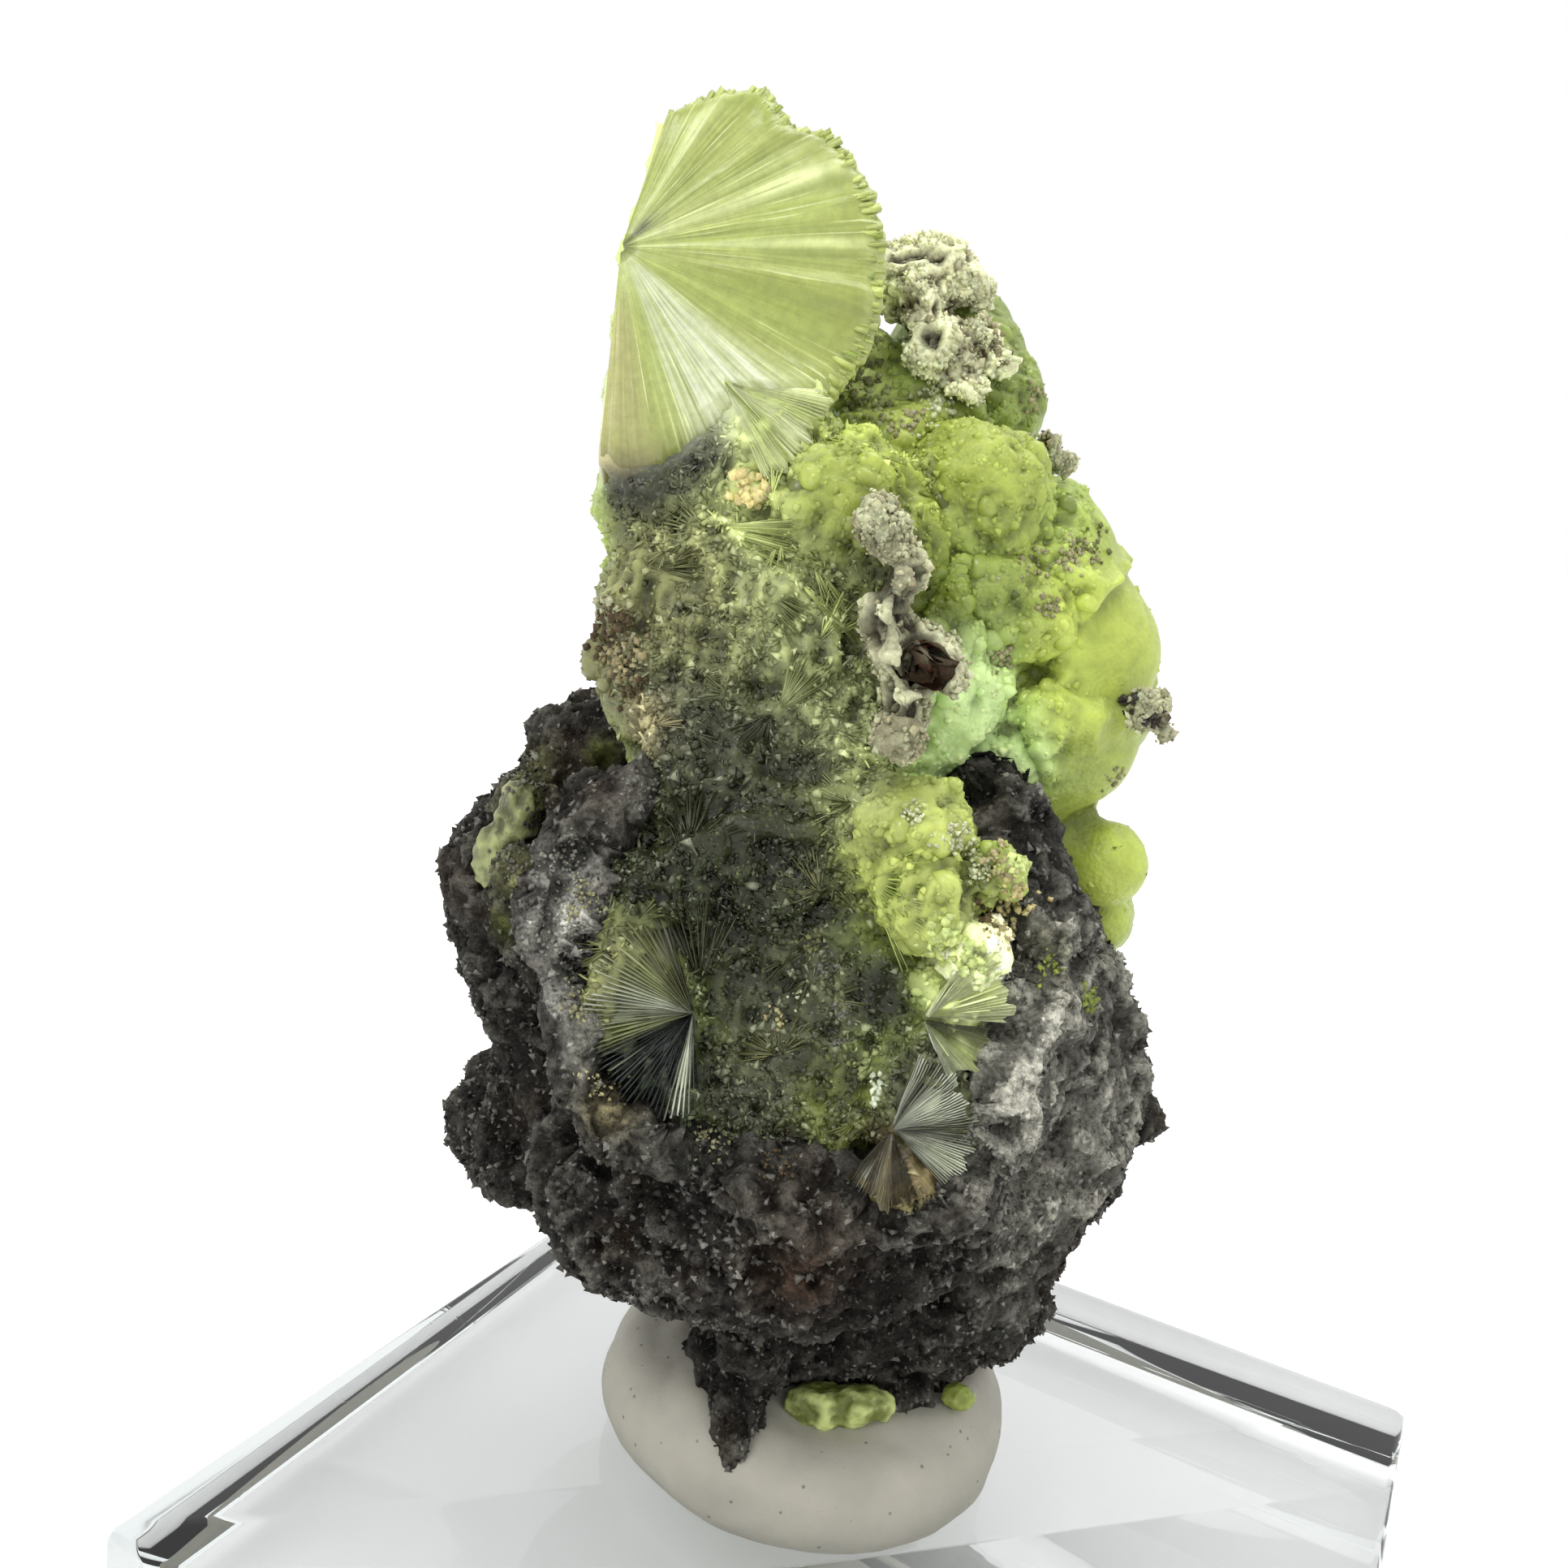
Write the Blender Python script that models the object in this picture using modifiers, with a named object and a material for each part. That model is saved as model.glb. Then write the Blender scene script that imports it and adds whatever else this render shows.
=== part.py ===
"""Wavellite specimen: lime-green wavellite on dark rock, fixed with putty to a clear square slab.

Metres, +Z up. The origin is the middle of the slab's underside and the slab's sides follow X and Y.
The rock and crystals are modelled in a frame of their own: x to the right of the good face, y away
from whoever looks at it, z up from the slab's top. An empty turns that frame onto the slab.
"""

import math
import random

import bmesh
import bpy
from mathutils import Euler, Matrix, Vector

MM = 0.001

# Slab and putty
SLAB_SIDE = 31.75 * MM
SLAB_THICKNESS = 6.35 * MM
SLAB_CHAMFER = 0.25 * MM
PUTTY_RADIUS = 6.8 * MM
PUTTY_DEPTH_SCALE = 1.1
PUTTY_HEIGHT = 3.6 * MM
PUTTY_CENTRE = Vector((-1.95, 1.9, 0.0)) * MM

# The good face is turned this far from the slab's front side
FACE_TURN = math.radians(25.0)

# The broken face leans back from the foot to the top
FACE_LEAN = math.radians(16.0)

# Fits and mesh fineness
GAP = 0.3 * MM
CUTTER_GROWTH = 0.5 * MM
FINE_VOXEL = 0.24 * MM
COARSE_VOXEL = 0.42 * MM
SMALL_VOXEL = 0.16 * MM
WAVELLITE_TRIANGLES = 4300
ROCK_TRIANGLES = 2450
CUTTER_TRIANGLES = 700
PUTTY_TRIANGLES = 400
CRUST_TRIANGLES = 400
KNOB_TRIANGLES = 80
PATCH_TRIANGLES = 90

# The big fan: its hub, then (angle in degrees, reach in mm) round its rim from the top to the bottom
FAN_HUB = (-12.0, -0.2, 36.1)
FAN_REACH = (
    (79, 4.1), (66, 5.1), (56, 5.9), (47, 5.8), (38, 6.5), (22, 7.0), (5, 7.2), (-12, 7.3), (-28, 7.0), (-50, 5.7),
    (-86, 6.4),
)
FAN_RAYS = 25
FAN_LAYERS = ((4, 0.96), (24, 1.0), (48, 0.9), (72, 0.72))

# Botryoids as (x, y, z, radius) in mm, each covered in bumps
BOTRYOIDS = (
    (-5.3, -0.9, 30.0, 2.1),
    (-4.3, -0.7, 29.2, 2.1),
    (-1.2, 0.7, 31.1, 1.9),
    (-0.4, -0.2, 28.5, 0.9),
    (0.8, 0.2, 27.9, 1.1),
    (-0.4, 0.2, 27.1, 0.9),
    (1.0, 2.7, 29.1, 2.5),
    (2.4, 2.8, 26.7, 2.85),
    (2.6, 2.4, 24.3, 2.4),
    (4.8, 2.6, 20.4, 1.35),
    (5.3, 3.9, 18.2, 1.0),
    (5.6, 4.6, 16.2, 0.9),
    (6.0, 5.0, 14.2, 0.9),
    (-0.2, 1.7, 25.6, 1.8),
    (0.2, 1.2, 23.5, 1.6),
    (-2.0, -4.4, 22.0, 1.5),
    (-1.4, -5.2, 20.7, 1.3),
    (0.3, -5.1, 21.5, 0.7),
    (0.1, -5.8, 19.6, 0.7),
    (-2.1, 6.2, 34.9, 2.2),
    (-1.1, 5.5, 33.9, 1.9),
    (-5.3, 3.5, 34.7, 0.9),
    (-4.8, 3.2, 33.3, 0.9),
    (3.0, 6.4, 26.5, 2.8),
    (-0.6, 8.0, 28.5, 2.6),
    (2.2, 7.6, 21.5, 2.8),
    (-2.4, 8.2, 23.6, 2.6),
    (4.6, 6.6, 17.6, 2.2),
)

# The mass under the fan, cut by the broken face, as (x, y, z, x radius, y radius, z radius) in mm
FACE_MASS = (
    (-8.9, 0.8, 30.6, 3.3, 3.6, 4.0),
    (-7.7, 0.0, 26.2, 3.7, 4.6, 4.8),
    (-5.8, -1.2, 22.2, 4.0, 4.8, 4.4),
    (-3.0, 2.6, 26.4, 5.0, 4.8, 7.0),
)

# The lining of the hollow, then the mass behind the botryoids and the fan and the left bump, in the same form
LINING = (-4.8, -3.0, 17.4, 6.1, 5.0, 5.2)
BACK_MASS = (
    (-2.9, 4.9, 31.2, 3.2, 3.2, 4.6),
    (0.6, 4.4, 23.0, 4.2, 4.4, 6.4),
    (0.9, 3.0, 28.2, 3.8, 3.9, 3.6),
    (2.2, 3.0, 24.9, 3.6, 3.9, 3.6),
    (-9.5, 2.5, 36.3, 2.4, 1.9, 2.8),
    (-10.5, -1.2, 25.4, 1.0, 1.3, 1.1),
)

# Radiating sprays as (hub in mm, start angle, end angle, lean towards the viewer, reach in mm, rays)
SPRAYS = (
    ((-8.9, -1.1, 33.0), 10, -75, 6, 3.3, 9),
    ((-7.1, -4.9, 16.7), 118, 276, 24, 3.0, 14),
    ((-1.4, -6.2, 14.6), 68, -98, 18, 2.1, 11),
    ((-1.4, -5.6, 17.6), 72, -58, 14, 2.2, 9),
)

# Rock lumps as (x, y, z, x radius, y radius, z radius) in mm
ROCK_LUMPS = (
    (-3.4, 2.2, 10.6, 10.0, 7.2, 6.2),
    (-4.4, -2.8, 10.9, 6.8, 4.9, 4.2),
    (-11.3, 2.2, 16.6, 4.0, 4.4, 5.4),
    (-10.7, 3.3, 21.1, 2.9, 3.3, 2.8),
    (-10.9, 1.8, 9.6, 3.6, 4.0, 2.8),
    (-10.2, -2.8, 18.6, 1.7, 3.0, 3.8),
    (1.9, -2.2, 17.2, 2.1, 3.6, 5.0),
    (0.7, -1.9, 22.2, 1.4, 1.9, 1.6),
    (3.5, 2.6, 12.6, 4.0, 4.8, 6.0),
    (6.9, 3.6, 11.6, 1.6, 1.5, 1.1),
    (0.6, 1.8, 6.8, 5.0, 4.8, 3.8),
    (-1.1, 1.2, 4.5, 4.8, 4.0, 3.4),
    (-4.3, -2.6, 5.6, 1.2, 1.6, 3.0),
    (-4.1, -3.7, 3.0, 0.9, 1.1, 1.2),
    (-6.4, 4.8, 22.6, 4.2, 3.2, 5.4),
    (-1.0, 5.8, 15.0, 6.0, 4.0, 7.0),
)

# The bowl's rim as points (x, y, z) in mm, and the hollow inside it
RIM_PATH = (
    (-9.5, -3.6, 22.4),
    (-10.3, -4.5, 21.3),
    (-11.0, -5.2, 19.8),
    (-11.0, -5.5, 18.4),
    (-10.4, -6.0, 16.6),
    (-9.4, -6.6, 14.6),
    (-8.6, -6.9, 13.6),
    (-6.2, -7.2, 13.1),
    (-4.2, -7.4, 12.6),
    (-1.6, -7.2, 12.0),
    (0.6, -6.7, 12.7),
    (1.7, -6.1, 15.0),
    (2.0, -5.5, 17.8),
    (2.3, -4.2, 20.8),
)
RIM_RADIUS = 0.75
HOLLOW = (-4.8, -10.5, 18.7, 6.6, 6.2, 7.4)

# Crust as (x, y, z, x radius, y radius, z radius) in mm
RIDGE_LUMPS = (
    (-4.2, -4.2, 30.1, 0.55, 1.3, 0.6),
    (-3.7, -4.1, 29.5, 0.4, 1.2, 0.6),
    (-3.3, -4.0, 28.8, 0.45, 1.6, 0.7),
    (-3.5, -3.8, 27.8, 0.5, 1.9, 0.8),
    (-3.1, -3.9, 26.9, 0.6, 2.0, 0.6),
    (-2.3, -4.2, 26.9, 0.8, 1.4, 0.45),
    (-1.8, -4.3, 26.4, 0.5, 1.2, 0.4),
    (-2.7, -4.1, 25.8, 0.45, 1.8, 0.7),
    (-2.7, -4.3, 24.8, 0.65, 1.7, 0.7),
)
TOP_CRUST_LUMPS = (
    (-3.4, 4.0, 37.3, 1.2, 1.3, 0.9),
    (-2.5, 4.2, 37.0, 0.9, 1.2, 0.9),
    (-4.5, 4.2, 36.9, 0.7, 1.1, 0.7),
    (-3.6, 3.2, 36.0, 1.0, 1.2, 1.2),
    (-2.9, 2.7, 34.8, 1.1, 1.3, 0.9),
    (-2.1, 2.6, 33.8, 0.9, 1.2, 0.7),
    (-1.9, 3.0, 35.4, 0.8, 1.0, 0.6),
    (-1.1, 3.1, 34.9, 0.7, 0.9, 0.5),
)
KNOBS = {
    "crust_knob_upper": ((0.5, 1.5, 32.7, 0.55, 0.55, 0.5), (0.9, 1.6, 32.3, 0.4, 0.5, 0.4)),
    "crust_knob_lower": ((4.5, -0.4, 25.8, 0.5, 0.7, 0.55), (5.0, 0.1, 25.2, 0.45, 0.7, 0.5)),
}

# Patches of wavellite apart from the main mass, as lumps like the rock's
PATCHES = {
    "wavellite_left_patch": ((-13.1, -0.4, 20.0, 0.7, 0.6, 1.2), (-13.6, -0.4, 18.6, 0.8, 0.6, 1.2)),
    "wavellite_foot_patch": ((-1.6, -2.5, 3.5, 1.3, 0.7, 0.8), (-0.4, -2.6, 3.9, 1.0, 0.7, 0.6)),
    "wavellite_foot_bead": ((2.6, -1.6, 3.9, 0.6, 0.5, 0.4),),
}


# Scene and materials


def clear_scene():
    for item in list(bpy.data.objects):
        bpy.data.objects.remove(item, do_unlink=True)


def new_collection(name):
    collection = bpy.data.collections.new(name)
    bpy.context.scene.collection.children.link(collection)
    return collection


def material(name, colour, roughness, transmission=0.0, ior=1.5):
    made = bpy.data.materials.new(name)
    made.use_nodes = True
    made.diffuse_color = (*colour, 1.0)
    shader = made.node_tree.nodes["Principled BSDF"]
    shader.inputs["Base Color"].default_value = (*colour, 1.0)
    shader.inputs["Roughness"].default_value = roughness
    shader.inputs["Metallic"].default_value = 0.0
    shader.inputs["Transmission Weight"].default_value = transmission
    shader.inputs["IOR"].default_value = ior
    return made


def acrylic_material():
    return material("clear_acrylic", (0.93, 0.95, 0.95), 0.04, transmission=1.0, ior=1.49)


def putty_material():
    return material("putty", (0.60, 0.59, 0.56), 0.85)


def rock_material():
    return material("dark_rock", (0.11, 0.105, 0.10), 0.9)


def wavellite_material():
    return material("lime_wavellite", (0.50, 0.62, 0.16), 0.35)


def crust_material():
    return material("grey_brown_crust", (0.33, 0.28, 0.21), 0.85)


# Lumps, rays and the fused solids made of them


def add_lump(bm, lump, grow, subdivisions=3):
    """Add an ellipsoid, given as centre and radii in mm, made larger all round by grow."""
    centre = Vector(lump[:3]) * MM
    radii = [value * MM + grow for value in lump[3:]]
    place = Matrix.Translation(centre) @ Matrix.Diagonal((*radii, 1.0))
    bmesh.ops.create_icosphere(bm, subdivisions=subdivisions, radius=1.0, matrix=place)


def add_botryoid(bm, ball, grow, rng):
    """Add a ball covered in small bumps, spread evenly round it and shaken a little."""
    x, y, z, radius = ball
    add_lump(bm, (x, y, z, radius, radius, radius), grow)
    count = max(10, int(9 * radius))
    golden_turn = math.pi * (3.0 - math.sqrt(5.0))
    for index in range(count):
        height = 1.0 - 2.0 * (index + 0.5) / count
        ring = math.sqrt(1.0 - height * height)
        turn = index * golden_turn + rng.uniform(-0.3, 0.3)
        out = Vector((ring * math.cos(turn), ring * math.sin(turn), height)) * radius * 0.84
        bump = rng.uniform(0.26, 0.40) * min(radius, 2.2)
        add_lump(bm, (x + out.x, y + out.y, z + out.z, bump, bump, bump), grow, subdivisions=2)


def add_ray(bm, hub, direction, reach, hub_radius, tip_radius, grow):
    """Add a tapered, blunt-ended crystal from the hub outwards."""
    length = reach + 2.0 * grow
    turn = direction.to_track_quat("Z", "Y").to_matrix().to_4x4()
    middle = hub + direction * (reach / 2.0)
    bmesh.ops.create_cone(
        bm,
        cap_ends=True,
        segments=6,
        radius1=hub_radius + grow,
        radius2=tip_radius + grow,
        depth=length,
        matrix=Matrix.Translation(middle) @ turn,
    )


def fan_reach(angle):
    """Reach of the big fan at an angle in degrees, between the two nearest rim points."""
    for (high, far), (low, near) in zip(FAN_REACH, FAN_REACH[1:]):
        if angle >= low:
            share = (angle - low) / (high - low)
            return (near + (far - near) * share) * MM
    return FAN_REACH[-1][1] * MM


def lean_back(direction):
    """Tip a direction from upright into the broken face, whose top is further away."""
    return Matrix.Rotation(-FACE_LEAN, 3, "X") @ direction


def add_fan(bm, grow, rng):
    """The broken ball of crystals at the top: rays in its flat face, and more leaning back behind it."""
    hub = Vector(FAN_HUB) * MM
    top, bottom = FAN_REACH[0][0], FAN_REACH[-1][0]
    for lean, share in FAN_LAYERS:
        for index in range(FAN_RAYS):
            angle = top + (bottom - top) * index / (FAN_RAYS - 1)
            tilt = math.radians(lean + rng.uniform(-3.0, 3.0))
            turn = math.radians(angle + rng.uniform(-1.0, 1.0))
            flat = Vector((math.cos(turn), 0.0, math.sin(turn)))
            direction = lean_back(flat * math.cos(tilt) + Vector((0.0, 1.0, 0.0)) * math.sin(tilt))
            reach = fan_reach(angle) * share * rng.uniform(0.96, 1.02)
            add_ray(bm, hub, direction, reach, 0.15 * MM, 0.52 * MM, grow)


def add_spray(bm, spray, grow, rng):
    """A small radiating spray: rays in the plane of the face, with a shorter set behind them."""
    centre, start, end, forward, reach, count = spray
    hub = Vector(centre) * MM
    for lean, share in ((-forward, 1.0), (30 - forward, 0.95)):
        for index in range(count):
            angle = math.radians(start + (end - start) * index / (count - 1) + rng.uniform(-3.0, 3.0))
            tilt = math.radians(lean + rng.uniform(-4.0, 4.0))
            flat = Vector((math.cos(angle), 0.0, math.sin(angle)))
            direction = lean_back(flat * math.cos(tilt) + Vector((0.0, 1.0, 0.0)) * math.sin(tilt))
            add_ray(bm, hub, direction, reach * MM * share * rng.uniform(0.85, 1.05), 0.12 * MM, 0.36 * MM, grow)


def new_object(name, bm, collection, parent):
    mesh = bpy.data.meshes.new(name)
    bm.to_mesh(mesh)
    bm.free()
    made = bpy.data.objects.new(name, mesh)
    made.parent = parent
    collection.objects.link(made)
    return made


def fuse(item, voxel):
    """Join the overlapping closed shapes of an object into one skin."""
    remesh = item.modifiers.new("fuse", "REMESH")
    remesh.mode = "VOXEL"
    remesh.voxel_size = voxel


def roughen(item, name, size, strength):
    texture = bpy.data.textures.new(name, "CLOUDS")
    texture.noise_scale = size
    texture.noise_depth = 2
    displace = item.modifiers.new(name, "DISPLACE")
    displace.texture = texture
    displace.texture_coords = "LOCAL"
    displace.mid_level = 0.5
    displace.strength = strength


def cut(item, cutter):
    boolean = item.modifiers.new("cut_" + cutter.name, "BOOLEAN")
    boolean.operation = "DIFFERENCE"
    boolean.solver = "EXACT"
    boolean.object = cutter


def apply_modifiers(item):
    """Replace the object's mesh by the mesh that its modifiers make."""
    bpy.context.view_layer.update()
    graph = bpy.context.evaluated_depsgraph_get()
    made = bpy.data.meshes.new_from_object(item.evaluated_get(graph), depsgraph=graph)
    item.modifiers.clear()
    item.data = made


def simplify(item, triangles):
    """Bring an object down to about this many triangles, keeping its lumps and ledges."""
    apply_modifiers(item)
    item.data.calc_loop_triangles()
    now = len(item.data.loop_triangles)
    decimate = item.modifiers.new("simplify", "DECIMATE")
    decimate.ratio = min(1.0, triangles / now)
    decimate.use_collapse_triangulate = True
    apply_modifiers(item)


def keep_largest_piece(item):
    """Delete loose crumbs that a cut leaves, so that the object is one closed solid."""
    bm = bmesh.new()
    bm.from_mesh(item.data)
    waiting = set(bm.verts)
    pieces = []
    while waiting:
        start = waiting.pop()
        piece = {start}
        edge_of_piece = [start]
        while edge_of_piece:
            vertex = edge_of_piece.pop()
            for link in vertex.link_edges:
                other = link.other_vert(vertex)
                if other in waiting:
                    waiting.discard(other)
                    piece.add(other)
                    edge_of_piece.append(other)
        pieces.append(piece)
    largest = max(pieces, key=len)
    crumbs = [vertex for piece in pieces if piece is not largest for vertex in piece]
    bmesh.ops.delete(bm, geom=crumbs, context="VERTS")
    bmesh.ops.dissolve_degenerate(bm, dist=1e-6, edges=bm.edges)
    bmesh.ops.triangulate(bm, faces=bm.faces)
    bm.to_mesh(item.data)
    bm.free()


def finish(item, made_of):
    item.data.materials.clear()
    item.data.materials.append(made_of)


def make_cutter(item):
    item.hide_render = True
    item.display_type = "WIRE"


# The pieces


def build_face_cutter(collection, parent):
    """A block in front of the broken face."""
    size = 40.0 * MM
    hub = Vector(FAN_HUB) * MM
    turned = Matrix.Rotation(-FACE_LEAN, 4, "X")
    place = Matrix.Translation(hub) @ turned @ Matrix.Translation((0.0, -size / 2.0, -size / 4.0))
    bm = bmesh.new()
    bmesh.ops.create_cube(bm, size=size, matrix=place)
    item = new_object("face_cutter", bm, collection, parent)
    make_cutter(item)
    return item


def build_mass(name, lumps, cutter, grow, collection, parent):
    """Lumps of the mass, fused and cut where the mass is broken or hollow."""
    bm = bmesh.new()
    for lump in lumps:
        add_lump(bm, lump, grow)
    item = new_object(name, bm, collection, parent)
    fuse(item, COARSE_VOXEL)
    if cutter is not None:
        cut(item, cutter)
    apply_modifiers(item)
    return item


def build_wavellite_shape(name, grow, voxel, collection, parent, face, hollow):
    """The whole mass with its botryoids, fan and sprays, fused; with grow, larger all round."""
    rng = random.Random(11)
    bm = bmesh.new()
    for ball in BOTRYOIDS:
        add_botryoid(bm, ball, grow, rng)
    for lump in BACK_MASS:
        add_lump(bm, lump, grow)
    add_fan(bm, grow, rng)
    for spray in SPRAYS:
        add_spray(bm, spray, grow, rng)
    for part_name, lumps, cutter in (("face_mass", FACE_MASS, face), ("lining", (LINING,), hollow)):
        mass = build_mass(part_name, lumps, cutter, grow, collection, parent)
        bm.from_mesh(mass.data)
        bpy.data.objects.remove(mass, do_unlink=True)
    item = new_object(name, bm, collection, parent)
    fuse(item, voxel)
    return item


def build_wavellite(collection, parent, face, hollow):
    item = build_wavellite_shape("wavellite", 0.0, FINE_VOXEL, collection, parent, face, hollow)
    roughen(item, "wavellite_grain", 1.1 * MM, 0.25 * MM)
    simplify(item, WAVELLITE_TRIANGLES)
    keep_largest_piece(item)
    finish(item, wavellite_material())
    return item


def build_wavellite_cutter(collection, parent):
    """The room that the wavellite needs: its shape without the broken face and the hollow, and larger."""
    item = build_wavellite_shape("wavellite_cutter", CUTTER_GROWTH, COARSE_VOXEL, collection, parent, None, None)
    simplify(item, CUTTER_TRIANGLES)
    make_cutter(item)
    return item


def rock_shape(grow):
    bm = bmesh.new()
    for lump in ROCK_LUMPS:
        add_lump(bm, lump, grow)
    for start, end in zip(RIM_PATH, RIM_PATH[1:]):
        for step in range(3):
            centre = Vector(start).lerp(Vector(end), step / 3.0)
            add_lump(bm, (*centre, RIM_RADIUS, RIM_RADIUS + 0.3, RIM_RADIUS), grow, subdivisions=2)
    return bm


def build_hollow_cutter(collection, parent):
    bm = bmesh.new()
    add_lump(bm, HOLLOW, 0.0)
    item = new_object("hollow_cutter", bm, collection, parent)
    make_cutter(item)
    return item


def build_rock(collection, parent, others):
    item = new_object("matrix_rock", rock_shape(0.0), collection, parent)
    fuse(item, COARSE_VOXEL)
    roughen(item, "rock_ledges", 2.4 * MM, 1.3 * MM)
    roughen(item, "rock_pits", 0.8 * MM, 0.55 * MM)
    simplify(item, ROCK_TRIANGLES)
    for cutter in others:
        cut(item, cutter)
        apply_modifiers(item)
    keep_largest_piece(item)
    finish(item, rock_material())
    return item


def build_rock_cutter(collection, parent):
    item = new_object("rock_cutter", rock_shape(CUTTER_GROWTH + GAP), collection, parent)
    fuse(item, COARSE_VOXEL)
    roughen(item, "rock_cutter_ledges", 2.4 * MM, 1.3 * MM)
    roughen(item, "rock_cutter_pits", 0.8 * MM, 0.55 * MM)
    simplify(item, CUTTER_TRIANGLES)
    make_cutter(item)
    return item


def build_crust(name, lumps, triangles, collection, parent, cutters):
    """A piece of crust: lumps fused, roughened and cut clear of what it stands on."""
    bm = bmesh.new()
    for lump in lumps:
        add_lump(bm, lump, 0.0)
    item = new_object(name, bm, collection, parent)
    fuse(item, SMALL_VOXEL)
    roughen(item, name + "_grain", 0.5 * MM, 0.35 * MM)
    simplify(item, triangles)
    for cutter in cutters:
        cut(item, cutter)
        apply_modifiers(item)
    keep_largest_piece(item)
    finish(item, crust_material())
    return item


def build_patch(name, lumps, collection, parent, grow):
    """A patch of wavellite apart from the main mass, or with grow the cutter that makes room for it."""
    bm = bmesh.new()
    for lump in lumps:
        add_lump(bm, lump, grow, subdivisions=2)
    item = new_object(name, bm, collection, parent)
    fuse(item, SMALL_VOXEL)
    simplify(item, PATCH_TRIANGLES)
    keep_largest_piece(item)
    return item


def build_patches(pieces, cutters, parent):
    rooms = []
    for name, lumps in PATCHES.items():
        patch = build_patch(name, lumps, pieces, parent, 0.0)
        finish(patch, wavellite_material())
        room = build_patch(name + "_cutter", lumps, cutters, parent, GAP)
        make_cutter(room)
        rooms.append(room)
    return rooms


def build_putty(collection, parent, cutters):
    """A pressed blob: a turned profile with a full, round edge and a low crown."""
    edge = PUTTY_HEIGHT * 0.5
    crown = [(PUTTY_RADIUS * share, PUTTY_HEIGHT * (1.0 - 0.16 * share * share)) for share in (0.0, 0.3, 0.6)]
    side = []
    for step in range(7):
        turn = math.radians(72.0 - 22.0 * step)
        side.append((PUTTY_RADIUS - edge + edge * math.cos(turn), GAP + edge * 0.92 + edge * 0.86 * math.sin(turn)))
    profile = crown + side + [(PUTTY_RADIUS * 0.72, GAP), (0.0, GAP)]
    bm = bmesh.new()
    points = [bm.verts.new((radius, 0.0, height)) for radius, height in profile]
    for first, second in zip(points, points[1:]):
        bm.edges.new((first, second))
    item = new_object("mounting_putty", bm, collection, parent)
    item.location = PUTTY_CENTRE
    item.scale = (1.0, PUTTY_DEPTH_SCALE, 1.0)
    turned = item.modifiers.new("turned", "SCREW")
    turned.steps = 40
    turned.render_steps = 40
    turned.use_merge_vertices = True
    turned.merge_threshold = 0.00001
    turned.use_normal_calculate = True
    apply_modifiers(item)
    fuse(item, COARSE_VOXEL)
    apply_modifiers(item)
    roughen(item, "putty_dents", 3.5 * MM, 0.5 * MM)
    simplify(item, PUTTY_TRIANGLES)
    flatten_below(item, GAP)
    for cutter in cutters:
        cut(item, cutter)
        apply_modifiers(item)
    keep_largest_piece(item)
    finish(item, putty_material())
    return item


def flatten_below(item, height):
    """Press everything under a height up to it, for a flat underside."""
    for vertex in item.data.vertices:
        vertex.co.z = max(vertex.co.z, height)


def build_slab(collection):
    bm = bmesh.new()
    place = Matrix.Translation((0.0, 0.0, SLAB_THICKNESS / 2.0))
    size = Matrix.Diagonal((SLAB_SIDE, SLAB_SIDE, SLAB_THICKNESS, 1.0))
    bmesh.ops.create_cube(bm, size=1.0, matrix=place @ size)
    item = new_object("acrylic_base", bm, collection, None)
    edges = item.modifiers.new("polished_edges", "BEVEL")
    edges.width = SLAB_CHAMFER
    edges.segments = 2
    finish(item, acrylic_material())
    return item


def build_specimen_frame(collection):
    frame = bpy.data.objects.new("specimen_frame", None)
    frame.location = (0.0, 0.0, SLAB_THICKNESS)
    frame.rotation_euler = Euler((0.0, 0.0, FACE_TURN))
    collection.objects.link(frame)
    return frame


def main():
    clear_scene()
    pieces = new_collection("wavellite_specimen")
    cutters = new_collection("cutters")
    frame = build_specimen_frame(pieces)

    build_slab(pieces)
    face = build_face_cutter(cutters, frame)
    hollow = build_hollow_cutter(cutters, frame)
    build_wavellite(pieces, frame, face, hollow)
    wavellite_room = build_wavellite_cutter(cutters, frame)
    patch_rooms = build_patches(pieces, cutters, frame)
    build_rock(pieces, frame, [wavellite_room, *patch_rooms])
    rock_room = build_rock_cutter(cutters, frame)
    build_putty(pieces, frame, [rock_room, *patch_rooms])
    build_crust("crust_ridge", RIDGE_LUMPS, CRUST_TRIANGLES, pieces, frame, [wavellite_room])
    build_crust("crust_top", TOP_CRUST_LUMPS, CRUST_TRIANGLES, pieces, frame, [wavellite_room])
    for name, lumps in KNOBS.items():
        build_crust(name, lumps, KNOB_TRIANGLES, pieces, frame, [wavellite_room])


main()
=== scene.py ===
"""Looks of the wavellite specimen: fibres, crystals, botryoids, rock, crust, putty and a clear slab.

Lengths are in mm and turned to metres where a mesh is made. Patterns are worked out in the face frame:
x to the right of the good face, y away from the viewer, z up from the slab's top.
"""

import math

import bmesh
import bpy
import numpy as np
from mathutils import Matrix, Vector
from mathutils.bvhtree import BVHTree
from mathutils.kdtree import KDTree


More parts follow.
